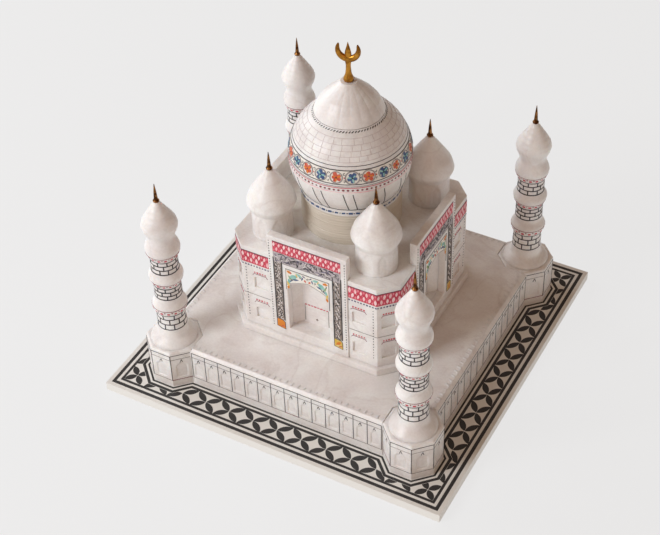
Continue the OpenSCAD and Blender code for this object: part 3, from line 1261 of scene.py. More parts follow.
    def ground(
        self, finish: Finish, surface: Surface, low: Point, high: Point,
        cells: tuple[int, int], layer: int = 1,
    ) -> None:
        """Lay a filled patch that follows the surface.

        Args:
            finish: The paint.
            surface: What it lies on.
            low: Its lower left corner.
            high: Its upper right corner.
            cells: How many cells it is divided in, across and up.
            layer: How many coats it lies above the stone.
        """
        across, up = cells
        us = np.linspace(low[0], high[0], across + 1)
        vs = np.linspace(low[1], high[1], up + 1)
        lift = self.LAYER * layer + self.over
        draft = self.drafts.setdefault(finish, Draft())
        start = len(draft.points)
        wide = across + 1
        sheet = wide * (up + 1)
        for height in (lift, -self.UNDER):
            draft.points.extend(surface.at(u, v, height) for v in vs for u in us)
        for i in range(up):
            for j in range(across):
                a = start + i * wide + j
                draft.faces.append((a, a + 1, a + wide + 1, a + wide))
                b = a + sheet
                draft.faces.append((b + wide, b + wide + 1, b + 1, b))
        rim = (
            [(start + j, start + j + 1) for j in range(across)]
            + [(start + i * wide + across, start + (i + 1) * wide + across) for i in range(up)]
            + [(start + up * wide + j + 1, start + up * wide + j) for j in range(across)]
            + [(start + (i + 1) * wide, start + i * wide) for i in range(up)]
        )
        draft.faces.extend((a + sheet, b + sheet, b, a) for a, b in rim)

    def fill(
        self, finish: Finish, surface: Surface, outline: Sequence[Point], layer: int = 1
    ) -> None:
        """Fill an outline on a flat surface.

        Args:
            finish: The paint.
            surface: What it lies on.
            outline: The outline, anticlockwise.
            layer: How many coats it lies above the stone.
        """
        lift = self.LAYER * layer + self.over
        top = [surface.at(u, v, lift) for u, v in outline]
        bottom = [surface.at(u, v, -self.UNDER) for u, v in outline]
        self.drafts.setdefault(finish, Draft()).slab(top, bottom)

    def finish(self, turn_spread: float = 0.12, size_spread: float = 0.14) -> None:
        """Make one piece of each colour's strokes and stamps.

        Args:
            turn_spread: The most that a stamp turns, in radians.
            size_spread: The most that a stamp's size differs, as a share.
        """
        colours = list(dict.fromkeys([*self.drafts, *(paint for paint, _ in self.marks)]))
        for paint in colours:
            work = bmesh.new()
            if paint in self.drafts:
                strokes = self.drafts[paint].mesh("strokes")
                work.from_mesh(strokes)
                bpy.data.meshes.remove(strokes)
            for number, ((other, kind), marks) in enumerate(self.marks.items()):
                if other is not paint:
                    continue
                source = kind.build(self.UNDER + 0.02, self.over)
                copies = self.tree.run(
                    marks, source, paint, self.seed + number, turn_spread, size_spread
                )
                work.from_mesh(copies)
                bpy.data.meshes.remove(copies)
                bpy.data.objects.remove(source)
            name = f"{self.area}_{paint.name.lower()}"
            mesh = bpy.data.meshes.new(name)
            work.to_mesh(mesh)
            work.free()
            for face in mesh.polygons:
                face.material_index = 0
            place_piece(mesh, paint, self.body, smooth=False)


# ---- slab and plinth ----


@dataclass
class BaseSlab:
    """The square marble slab and the black stone let into it. Their own meshes stay."""

    inlay: tuple[str, ...] = (
        "border_outer_line", "border_inner_line", "border_petals", "trace_line", "foot_line",
    )

    def dress(self) -> None:
        """Give the slab and its inlay their stones."""
        dress_node("base_slab", Finish.MARBLE)
        for name in self.inlay:
            dress_node(name, Finish.BLACK_STONE)


def dress_node(name: str, finish: Finish) -> None:
    """Give a node that keeps its own mesh its finish.

    Args:
        name: The node.
        finish: Its finish.
    """
    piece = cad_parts[name]
    if not piece.material_slots:
        piece.data.materials.append(finish.material())
    for holder in piece.material_slots:
        holder.material = finish.material()
    LOG.info("%s: %s", name, finish.value.name)


@dataclass
class Plinth:
    """The four panelled walls, the octagonal turrets and the deck with its carved edge."""

    tree: StampTree
    panels: int = 14
    frame_low: float = 7.5
    frame_high: float = 21.2
    second_line_drop: float = 2.3
    niche_depth: float = 0.35
    line_w: float = 0.26
    tick_pitch: float = 2.7
    socket_r: float = 3.06
    socket_rim_r: float = 6.4
    socket_depth: float = 9.0
    bevel: float = 1.0
    columns_per_face: int = 22
    flat_rows: int = 40
    lines: Brushwork = field(init=False)

    def __post_init__(self) -> None:
        """Read the sizes from the frame."""
        low, high = node_box("plinth_wall_front")
        self.wall_half = high.x
        self.wall_out = -low.y
        self.wall_in = -high.y
        self.foot, self.wall_top = low.z, high.z
        self.deck_top = node_box("plinth_deck")[1].z
        self.lines = Brushwork("panel_lines", MODEL_BODY, 11, self.tree)

    def build(self) -> None:
        """Make the walls, turrets and deck, and paint their panels."""
        for side, name in enumerate(SIDES):
            self._wall(side, name)
        for corner in CORNERS:
            self._turret(corner)
        softened("plinth_deck", 0.3, Finish.ALABASTER, "deck")
        self._edge_ticks()
        self.lines.finish(turn_spread=0.1, size_spread=0.1)

    def _niche(self, u: np.ndarray, v: float, half: float) -> np.ndarray:
        """Return how deep a shallow keel-arched niche is cut at a place.

        Args:
            u: Places across the panel, from its middle.
            v: The height.
            half: Half the niche's width.

        Returns:
            The depth at each place, below zero inside the niche.
        """
        low, spring, tip = self.frame_low + 1.2, self.frame_high - 6.6, self.frame_high - 4.4
        if v < low or v > tip:
            return np.zeros_like(u)
        reach = half if v <= spring else half * (1 - ((v - spring) / (tip - spring)) ** 1.6)
        edge = np.clip((reach - np.abs(u)) / 0.35, 0, 1)
        foot = min((v - low) / 0.3, 1.0)
        return -self.niche_depth * edge * edge * (3 - 2 * edge) * foot

    def _panel_lines(
        self, surface: Surface, left: float, right: float, closing: bool, maroon: bool
    ) -> None:
        """Draw one panel's frame: uprights, sill line, a double line on top and a small keel mark.

        Args:
            surface: The face.
            left: The panel's left edge.
            right: Its right edge.
            closing: Whether its right upright is drawn too.
            maroon: Whether this panel was drawn in maroon.
        """
        paint = Finish.MAROON if maroon else Finish.SLATE
        lines = self.lines
        low, high = self.frame_low, self.frame_high
        lines.straight(Finish.BLACK, surface, (left, low), (left, high), self.line_w)
        if closing:
            lines.straight(Finish.BLACK, surface, (right, low), (right, high), self.line_w)
        lines.straight(paint, surface, (left, low), (right, low), self.line_w)
        lines.straight(Finish.BLACK, surface, (left, high), (right, high), self.line_w)
        second = high - self.second_line_drop
        lines.straight(Finish.SLATE, surface, (left, second), (right, second), self.line_w * 0.8)
        lines.stamp(
            Finish.BLACK, Stamp.CARET, surface, (left + right) / 2, second - 1.3, (1.2, 1.5)
        )

    def _wall(self, side: int, name: str) -> None:
        """Make one wall with its row of niches, and draw its panels.

        Args:
            side: Which side it is on, counted to the right from the front.
            name: The side's name.
        """
        angle = -90 + 90 * side
        face = Face(angle, self.wall_out)
        pitch = 2 * self.wall_half / self.panels
        us = np.linspace(-self.wall_half, self.wall_half, self.panels * 16 + 1)
        vs = np.linspace(self.foot, self.wall_top, self.flat_rows)
        middles = (np.floor((us + self.wall_half) / pitch).clip(0, self.panels - 1) + 0.5) * pitch
        offsets = us + self.wall_half - middles
        draft = Draft()
        depth = self.wall_out - self.wall_in
        rows = []
        for v in vs:
            cut = self._niche(offsets, v, pitch * 0.3)
            front = [face.at(u, v, d) for u, d in zip(us, cut)]
            rows.append(front + [face.at(us[-1], v, -depth), face.at(us[0], v, -depth)])
        draft.rings(np.array(rows))
        place_piece(
            draft.mesh(f"wall_{name}"), Finish.ALABASTER,
            replaces=[f"plinth_wall_{name}"],
        )
        # the turrets take up the walls' ends, so the drawn panels stop a line short of them
        for k in range(self.panels):
            left = -self.wall_half + 0.3 + k * (2 * self.wall_half - 0.6) / self.panels
            right = left + (2 * self.wall_half - 0.6) / self.panels
            self._panel_lines(face, left, right, k == self.panels - 1, (k * 7 + side) % 9 == 4)

    def _turret(self, corner: str) -> None:
        """Make one turret with niches on its faces and the socket in its top, and draw its panels.

        Args:
            corner: The corner's name.
        """
        low, high = node_box(f"turret_{corner}")
        centre = ((low.x + high.x) / 2, (low.y + high.y) / 2)
        flat = (high.x - low.x) / 2
        face_w = 2 * flat * math.tan(math.radians(22.5))
        per = self.columns_per_face
        offsets = (np.arange(per) / per - 0.5) * face_w

        def octagon_row(z: float, inset: float, cut: bool) -> np.ndarray:
            """Lay out one eight-sided ring.

            Args:
                z: Its height.
                inset: How far its faces are set in.
                cut: Whether the niches are cut in it.

            Returns:
                The ring's points.
            """
            row = []
            for k in range(8):
                depth = self._niche(offsets, z, face_w * 0.28) if cut else np.zeros(per)
                shrink = (flat - inset) / flat
                face = Face(-90 + 45 * k, flat - inset, centre)
                row.extend(face.at(u * shrink, z, d) for u, d in zip(offsets, depth))
            return np.array(row)

        top = high.z
        levels = np.linspace(low.z, top - self.bevel, self.flat_rows)
        rows = [octagon_row(z, 0, True) for z in levels]
        rounding = [(0.06, 0.55), (0.3, 0.3), (0.6, 0.1), (1.0, 0.0)]
        rows += [
            octagon_row(top - self.bevel * drop, self.bevel * inset, False) for inset,
            drop in rounding
        ]
        # the top's inner rings have their points in line with those of its edge
        starts = np.arctan2(rows[-1][:, 1] - centre[1], rows[-1][:, 0] - centre[0])
        rows += [
            level_ring(centre, radius, z, starts)
            for radius, z in (
                (self.socket_rim_r, top), (self.socket_r, top), (
                    self.socket_r, top - self.socket_depth
                )
            )
        ]
        draft = Draft()
        draft.rings(np.array(rows))
        place_piece(
            draft.mesh(f"corner_{corner}"), Finish.ALABASTER,
            replaces=[f"turret_{corner}"],
        )
        self._turret_lines(centre, flat, face_w)

    def _turret_lines(self, centre: tuple[float, float], flat: float, face_w: float) -> None:
        """Draw the panels on the turret's outer faces.

        Args:
            centre: The turret's middle.
            flat: From the middle to a face.
            face_w: A face's width.
        """
        for k in range(8):
            face = Face(-90 + 45 * k, flat, centre)
            middle = face.at(0, self.foot)
            outside = max(abs(middle.x), abs(middle.y)) > self.wall_out + 0.5
            if outside:
                toward_wall = min(abs(middle.x), abs(middle.y)) < abs(centre[0]) - flat / 2
                half = face_w / 2
                self._panel_lines(face, -half, half, True, toward_wall)

    def _edge_ticks(self) -> None:
        """Carve the row of small ticks along the deck's bevelled edge."""
        ticks = Brushwork("deck_edge_ticks", MODEL_BODY, 5, self.tree, over=0.16)
        count = int(2 * self.wall_half / self.tick_pitch)
        for side in range(4):
            top = DeckEdge(-90 + 90 * side, self.wall_out - 2.3, self.deck_top)
            reach = count * self.tick_pitch / 2
            ticks.row(
                Finish.ALABASTER, Stamp.TICK, top, (-reach, 0), (reach, 0), count + 1, (1.1, 2.0),
                -12, 0
            )
        ticks.finish(turn_spread=0.2, size_spread=0.2)


@dataclass(frozen=True)
class DeckEdge(Surface):
    """The level strip along one edge of the deck. u runs right and v runs in from the edge."""

    angle: float
    distance: float
    height: float

    def frame(self, u: float, v: float) -> tuple[Vector, Vector, Vector]:
        """Return the place, the direction to the right and straight up."""
        place, along, out = Face(self.angle, self.distance).frame(u, self.height)
        return place - out * v, along, Vector((0, 0, 1))


# ---- minarets ----


@dataclass
class Minaret:
    """One turned minaret with its tenon, its three bands of painted brickwork and its brass pin."""

    corner: str
    number: int
    tree: StampTree
    segments: int = 72
    ring_step: float = 0.45
    tenon_r: float = 3.0
    tool_mark: float = 0.05
    tool_pitch: float = 1.9
    cone_foot: float = 76.0
    line_w: float = 0.46
    bricks_round: int = 9
    bands: tuple[tuple[float, float, float], ...] = (
        (60.2, 66.4, 69.2), (46.8, 52.4, 55.3), (30.8, 38.6, 41.6),
    )

    def build(self) -> None:
        """Make the stone and the pin's finish, and paint the bands."""
        node = f"minaret_{self.corner}"
        body = f"minaret_{self.corner}"
        low, _ = node_box(node)
        deck = node_box("plinth_deck")[1].z
        surface = turned_profile(node, deck)
        heights = np.arange(deck, surface.heights[-1], self.ring_step)
        rows = lathe_rows(surface, heights, self.segments, self._tool_marks)
        turns = full_turn(self.segments)
        tenon = [level_ring(surface.centre, self.tenon_r, z, turns) for z in (low.z, deck)]
        draft = Draft()
        draft.rings(np.concatenate([np.array(tenon), rows]))
        place_piece(
            draft.mesh(f"tower_{self.corner}"), Finish.ALABASTER, body,
            replaces=[node],
        )
        dress_node(f"minaret_pin_{self.corner}", Finish.PIN_BRASS)
        self._paint(surface, body)

    def _tool_marks(self, turns: np.ndarray, z: float) -> np.ndarray:
        """Shape the faint rings that the gouge leaves, stronger up the cone.

        Args:
            turns: The angles round the piece.
            z: The height.

        Returns:
            How far the stone stands out at each angle.
        """
        rise = max(0.0, (z - self.cone_foot) / 10)
        ring = math.sin(z * 2 * math.pi / self.tool_pitch) * self.tool_mark * (0.4 + min(rise, 1.6))
        return np.full_like(turns, ring) + 0.03 * np.sin(3 * turns + self.number + z / 6)

    def _paint(self, surface: Turned, body: str) -> None:
        """Paint the bands: a row of red dashes over three courses of bricks.

        Args:
            surface: The minaret's outline.
            body: The body that the paint moves with.
        """
        work = Brushwork(f"bricks_{self.corner}", body, 40 + self.number, self.tree)
        for index, (foot, top, head) in enumerate(self.bands):
            step = (top - foot) / 3
            lines = [foot + step * k for k in range(4)]
            for z in lines:
                work.hoop(Finish.BLACK, surface, z, self.line_w, count=48)
            for course in range(3):
                for k in range(self.bricks_round):
                    u = 360 / self.bricks_round * (
                        k + 0.5 * (course % 2)
                    ) + 17 * index + 40 * self.number
                    u += work.hand.uniform(-4, 4)
                    work.straight(
                        Finish.BLACK, surface, (u, lines[course]), (
                            u, lines[course + 1]
                        ), self.line_w,
                        step=1.2,
                    )
            work.hoop(Finish.MAROON, surface, head, 0.22, count=48)
            middle = (top + head) / 2
            work.ring(Finish.RED, Stamp.DASH, surface, middle, 15, (1.0, 0.9), first=5 * index)
            work.ring(
                Finish.MAROON, Stamp.DOT, surface, middle + 0.7, 15, (0.5, 0.5),
                first=5 * index + 12, layer=2
            )
        work.finish(turn_spread=0.3, size_spread=0.25)


# ---- mausoleum ----


@dataclass
class Mausoleum:
    """The building: step, chamfered block and four portals, with all their painted work."""

    tree: StampTree
    corner_cut: float = 6.8
    band_low: float = 59.0
    band_high: float = 64.8
    window_mid: float = 21.9
    dash_line: float = 57.9
    storey_line: float = 42.4
    lower_brow: float = 39.2
    niche_drop: float = 5.6
    paint: Brushwork = field(init=False)

    def __post_init__(self) -> None:
        """Read the sizes from the frame."""
        self.half = node_box("house_block")[1].x
        low, high = node_box("portal_front")
        self.portal_out = -low.y
        self.portal_half = high.x
        self.paint = Brushwork("house_paint", MODEL_BODY, 71, self.tree)

    def build(self) -> None:
        """Dress the stone and paint the four sides and the four cut corners."""
        softened("house_step", 0.35, Finish.ALABASTER, "step")
        softened("house_block", 0.3, Finish.ALABASTER, "block")
        for name in SIDES:
            softened(f"portal_{name}", 0.25, Finish.ALABASTER, f"gate_{name}")
        for side in range(4):
            angle = -90 + 90 * side
            self._portal(Face(angle, self.portal_out))
            for sign in (-1, 1):
                self._wing(Face(angle, self.half), sign)
            cut = (2 * self.half - self.corner_cut) / math.sqrt(2)
            half = self.corner_cut / math.sqrt(2)
            self._storeys(Face(angle + 45, cut), -half, half, 0.5, (0, 53.4, 3.0))
            self._door(Face(angle, self.half - self.niche_drop))
        self.paint.finish(turn_spread=0.16, size_spread=0.16)

    def _lattice(self, face: Face, left: float, right: float, low: float, high: float) -> None:
        """Paint a red band crossed by a pale lattice, with a maroon line and dots on top.

        Args:
            face: The face.
            left: The band's left end.
            right: Its right end.
            low: Its foot.
            high: Its head.
        """
        work = self.paint
        work.ground(Finish.RED, face, (left, low), (right, high), (2, 1))
        tall = high - low
        count = max(2, round((right - left) / 2.25))
        pitch = (right - left) / count
        oval, drop = (tall * 0.46, pitch * 0.46), (tall * 0.24, pitch * 0.3)
        for k in range(count):
            u = left + (k + 0.27) * pitch
            v = u + pitch / 2
            for paint, place, rise, size in (
                (Finish.PINK, u, 0.71, oval), (Finish.PINK, v, 0.3, oval),
                (Finish.ROSE, u, 0.17, drop), (Finish.ROSE, v, 0.84, drop),
            ):
                work.stamp(paint, Stamp.LEAF, face, place, low + tall * rise, size, 84, 2)
            work.stamp(
                Finish.ROSE, Stamp.DOT, face, u + pitch * 0.25, low + tall * 0.5, (0.34, 0.5), 0, 2
            )
        work.straight(Finish.MAROON, face, (left, high), (right, high), 0.4, 2)
        work.row(
            Finish.VIOLET, Stamp.DOT, face, (left + 0.5, high), (right - 0.5, high), count,
            (0.55, 0.5), 0, 3
        )

    def _storeys(
        self, face: Face, left: float, right: float, margin: float,
        brows: tuple[float, float, float],
    ) -> None:
        """Paint what a wing and a cut corner share: lattice, dashes, storey line and two brows.

        Args:
            face: The face.
            left: Its left end.
            right: Its right end.
            margin: How far the dashes stop short of the ends.
            brows: The brows' middle, the upper one's height, and half their length.
        """
        self._lattice(face, left, right, self.band_low, self.band_high)
        self.paint.row(
            Finish.VIOLET, Stamp.DASH, face, (left + margin, self.dash_line),
            (right - margin, self.dash_line), round((right - left) / 1.25), (0.7, 0.6),
        )
        self.paint.straight(
            Finish.SLATE, face, (left, self.storey_line), (right, self.storey_line), 0.24
        )
        middle, head, half = brows
        for height in (head, self.lower_brow):
            self._brow(face, middle, height, half)

    def _wing(self, face: Face, sign: int) -> None:
        """Paint one plain wing beside a portal.

        Args:
            face: The wall's face.
            sign: Minus one on the left and one on the right.
        """
        inner, outer = self.portal_half + 0.25, self.half - self.corner_cut
        left, right = sorted((sign * inner, sign * outer))
        self._storeys(face, left, right, 0.4, (sign * self.window_mid, 53.9, 3.4))
        post = sign * (outer - 1.6)
        self.paint.row(
            Finish.BLACK, Stamp.DOT, face, (post, 30.7), (post, 56.0), 18, (0.42, 0.5)
        )

    def _brow(self, face: Face, middle: float, height: float, half: float) -> None:
        """Paint the dashed red brow over a window: a row of dashes on a thin flat arch.

        Args:
            face: The face.
            middle: The window's middle.
            height: The brow's height.
            half: Half its length.
        """
        work = self.paint
        path = [
            (middle - half, height - 0.9), (middle - half * 0.8, height),
            (middle + half * 0.8, height), (middle + half, height - 0.9),
        ]
        work.stroke(Finish.MAROON, face, path, 0.24)
        work.row(Finish.RED, Stamp.DASH, face, (middle - half * 0.7, height + 0.8),
                 (middle + half * 0.7, height + 0.8), 5, (0.66, 0.6))

    def _portal(self, face: Face) -> None:
        """Paint one portal: lattice, floral frame, spandrel flowers and dotted edges.

        Args:
            face: The portal's face.
        """
        work = self.paint
        half = 14.8
        for sign in (-1, 1):
            edge = sign * 16.5
            work.row(Finish.BLACK, Stamp.DOT, face, (edge, 30.5), (edge, 75.0), 34, (0.42, 0.55))
        self._lattice(face, -half, half, 70.3, 75.4)
        self._floral_frame(face, half)
        self._spandrel(face)
        for sign, paint in ((-1, Finish.ORANGE), (1, Finish.YELLOW)):
            middle = sign * 13.0
            foot = [
                (middle - 1.9, 30.4), (middle + 1.9, 29.7), (middle + 1.8, 33.4),
                (middle + 0.9, 34.3), (middle - 1.8, 34.6),
            ]
            work.fill(paint, face, foot)
            work.stroke(Finish.BLACK, face, foot, 0.26, 2, closed=True)
            work.stamp(Finish.ORANGE, Stamp.LEAF, face, middle, 32.4, (3.0, 1.3), 50, 2)
            work.stamp(Finish.VERMILION, Stamp.LEAF, face, middle + 0.8, 31.0, (2.0, 0.7), 20, 3)

    def _scribble(
        self, face: Face, low: Point, high: Point, count: int,
        paints: Sequence[Finish], length: float,
    ) -> None:
        """Fill a patch with short curved strokes that run every way.

        Args:
            face: The face.
            low: The patch's lower left corner.
            high: Its upper right corner.
            count: How many strokes there are.
            paints: The paints, taken in turn.
            length: The length of a stroke in millimetres.
        """
        work, hand = self.paint, self.paint.hand
        for k in range(count):
            u = low[0] + (high[0] - low[0]) * ((k + hand.uniform(0.1, 0.9)) / count)
            v = hand.uniform(low[1], high[1])
            if high[1] - low[1] > high[0] - low[0]:
                u = hand.uniform(low[0], high[0])
                v = low[1] + (high[1] - low[1]) * ((k + hand.uniform(0.1, 0.9)) / count)
            lean, bend = hand.uniform(0, math.pi), hand.uniform(-1.6, 1.6)
            path, place = [], [u, v]
            for part in range(5):
                path.append(
                    (min(max(place[0], low[0]), high[0]), min(max(place[1], low[1]), high[1]))
                )
                turn = lean + bend * part / 2
                place = [
                    place[0] + length / 4 * math.cos(turn), place[1] + length / 4 * math.sin(turn)
                ]
            if all(math.dist(a, b) > 0.05 for a, b in zip(path, path[1:])):
                work.stroke(
                    paints[k % len(paints)], face, path, hand.uniform(0.2, 0.34), 3, wobble=0.0
                )

    def _floral_frame(self, face: Face, half: float) -> None:
        """Paint the frame of scribbled leaves, upside-down U in shape.

        Args:
            face: The portal's face.
            half: Half its width.
        """
        work = self.paint
        inner, head, low = 11.2, 70.2, 34.5
        shoulder = 65.2
        work.ground(Finish.SILVER, face, (-half, shoulder), (half, head), (2, 1))
        for sign in (-1, 1):
            left, right = sorted((sign * inner, sign * half))
            work.ground(Finish.GREY, face, (left, low), (right, shoulder), (1, 2))
            for edge in (left, right):
                work.straight(Finish.BLACK, face, (edge, low), (edge, shoulder + 2), 0.44, 2)
            middle = (left + right) / 2
            count = 20
            for k in range(count):
                v = low + 0.9 + (shoulder - low) * k / count
                side = 0.7 * (-1) ** k
                if sign < 0:
                    work.stamp(
                        Finish.WHITE, Stamp.CURL, face, middle + side, v, (1.5, 1.35), 90 + 180 * k,
                        2
                    )
                    work.stamp(
                        Finish.WHITE, Stamp.LEAF, face, middle - side, v + 0.5, (1.2, 0.45), 130, 2
                    )
                else:
                    work.stamp(
                        Finish.WHITE, Stamp.LEAF, face, middle + side * 0.6, v, (2.3, 0.6), 118, 2
                    )
                    work.stamp(
                        Finish.SILVER, Stamp.LEAF, face, middle - side, v + 0.7, (1.5, 0.5), 112, 2
                    )
            self._scribble(
                face, (left + 0.3, low), (right - 0.3, shoulder), 44, (Finish.BLACK,), 1.7
            )
        work.straight(Finish.SLATE, face, (-inner, shoulder), (inner, shoulder), 0.3, 2)
        ends = (1 - half, shoulder + 0.3), (half - 1, head - 0.4)
        self._scribble(
            face, *ends, 90, (Finish.BLACK, Finish.VIOLET, Finish.BLACK, Finish.SLATE), 2.3
        )
        self._scribble(face, *ends, 30, (Finish.WHITE,), 1.6)

    def _spandrel(self, face: Face) -> None:
        """Paint the flowers above the arch, inside a thin dark outline.

        Args:
            face: The portal's face.
        """
        work = self.paint
        half, head, spring, tip = 9.5, 63.1, 54.7, 58.9
        arch = [
            (half * (1 - 2 * k / 12), spring + (tip - spring) * (1 - abs(1 - 2 * k / 12)) ** 0.65)
            for k in range(13)
        ]
        outline = [
            (-half, 52.6), (-half + 0.5, 52.6), *arch[::-1][1:-1], (half - 0.5, 52.6),
            (half, 52.6), (half, head), (-half, head),
        ]
        work.fill(Finish.CREAM_PAINT, face, outline)
        work.stroke(
            Finish.BLACK, face, [(half, 48.6), (half, head), (-half, head), (-half, 52.4)], 0.24, 2
        )
        work.stroke(Finish.SLATE, face, arch, 0.24, 2)
        # each motif: paint, stamp, place on the right half, size and turn; the left half mirrors it
        motifs = (
            (Finish.ORANGE, Stamp.LEAF, 8.0, 61.9, 2.6, 1.5, 12),
            (Finish.VERMILION, Stamp.DOT, 7.3, 61.6, 1.0, 0.9, 0),
            (Finish.TURQUOISE, Stamp.LEAF, 6.2, 60.0, 4.2, 2.0, 150),
            (Finish.GREEN, Stamp.LEAF, 7.7, 59.0, 2.8, 1.0, 60),
            (Finish.BLUE, Stamp.LEAF, 5.3, 58.9, 3.0, 0.8, 160),
            (Finish.TURQUOISE, Stamp.LEAF, 8.2, 57.2, 2.8, 1.2, 100),
            (Finish.YELLOW, Stamp.LEAF, 8.6, 55.6, 2.4, 0.9, 80),
            (Finish.BLUE, Stamp.LEAF, 7.3, 57.6, 2.2, 0.6, 130),
            (Finish.ORANGE, Stamp.LEAF, 8.6, 53.9, 2.2, 1.1, 100),
            (Finish.TURQUOISE, Stamp.LEAF, 3.6, 61.8, 2.6, 1.1, 20),
            (Finish.YELLOW, Stamp.LEAF, 4.7, 61.2, 2.0, 0.7, 70),
            (Finish.BLUE, Stamp.LEAF, 2.2, 60.6, 2.4, 0.7, 110),
            (Finish.VIOLET, Stamp.LEAF, 1.5, 62.0, 1.8, 0.6, 40),
            (Finish.VERMILION, Stamp.LEAF, 1.0, 59.9, 1.6, 0.9, 60),
        )
        for paint, kind, u, v, length, width, turn in motifs:
            work.stamp(paint, kind, face, u, v, (length, width), turn, 2)
            work.stamp(paint, kind, face, -u, v, (length, width), 180 - turn, 2)
        for u, v in (
            (0.2, 61.2), (3.3, 60.4), (6.7, 58.0), (-3.0, 60.9), (-6.9, 58.3), (8.3, 60.6)
        ):
            work.stamp(Finish.BLACK, Stamp.CURL, face, u, v, (1.1, 1.0), 70 * u, 3)

    def _door(self, face: Face) -> None:
        """Paint the closed door on the back of the niche.

        Args:
            face: The niche's back.
        """
        work = self.paint
        half, low, head = 5.3, 31.2, 41.0
        work.row(
            Finish.RED, Stamp.DASH, face, (0.5 - half, head), (half - 0.5, head), 8, (1.0, 0.5), 0
        )
        for sign in (-1, 1):
            work.straight(Finish.SLATE, face, (sign * half, low + 1), (sign * half, head), 0.28)
        work.stamp(Finish.GREY, Stamp.DIAMOND, face, 0, 34.2, (1.3, 1.5), 0)


# ---- roof ----


@dataclass
class Kiosk:
    """One turned corner kiosk with shallow carved arches round its body, and its brass pin."""

    corner: str
    number: int
    segments: int = 96
    ring_step: float = 0.4
    arches: int = 8
    cut: float = 0.3

    def build(self) -> None:
        """Make the stone and give the pin its finish."""
        node = f"kiosk_{self.corner}"
        low, high = node_box(node)
        self.foot, self.height = low.z, high.z - low.z
        surface = turned_profile(node, low.z)
        heights = np.arange(low.z, surface.heights[-1], self.ring_step)
        draft = Draft()
        draft.rings(lathe_rows(surface, heights, self.segments, self._relief))
        place_piece(
            draft.mesh(f"cupola_{self.corner}"), Finish.ALABASTER,
            replaces=[node],
        )
        dress_node(f"kiosk_pin_{self.corner}", Finish.PIN_BRASS)

    def _relief(self, turns: np.ndarray, z: float) -> np.ndarray:
        """Shape the carving: arches low down, a faint swell between ribs on the cap.

        Args:
            turns: The angles round the piece.
            z: The height.

        Returns:
            How far the stone stands out at each angle.
        """
        rise = (z - self.foot) / self.height
        phase = np.abs((turns * self.arches / (2 * math.pi) + 0.5) % 1 - 0.5) * 2
        spring, tip = 0.24, 0.36
        if rise < 0.04 or rise > tip:
            return -0.05 * phase * min(1.0, max(0.0, rise - 0.5) * 4) + 0.03 * math.sin(z * 4.2)
        reach = 0.62 if rise < spring else 0.62 * (1 - ((rise - spring) / (tip - spring)) ** 1.5)
        edge = np.clip((reach - phase) / 0.14, 0, 1)
        return -self.cut * edge * edge * (3 - 2 * edge)


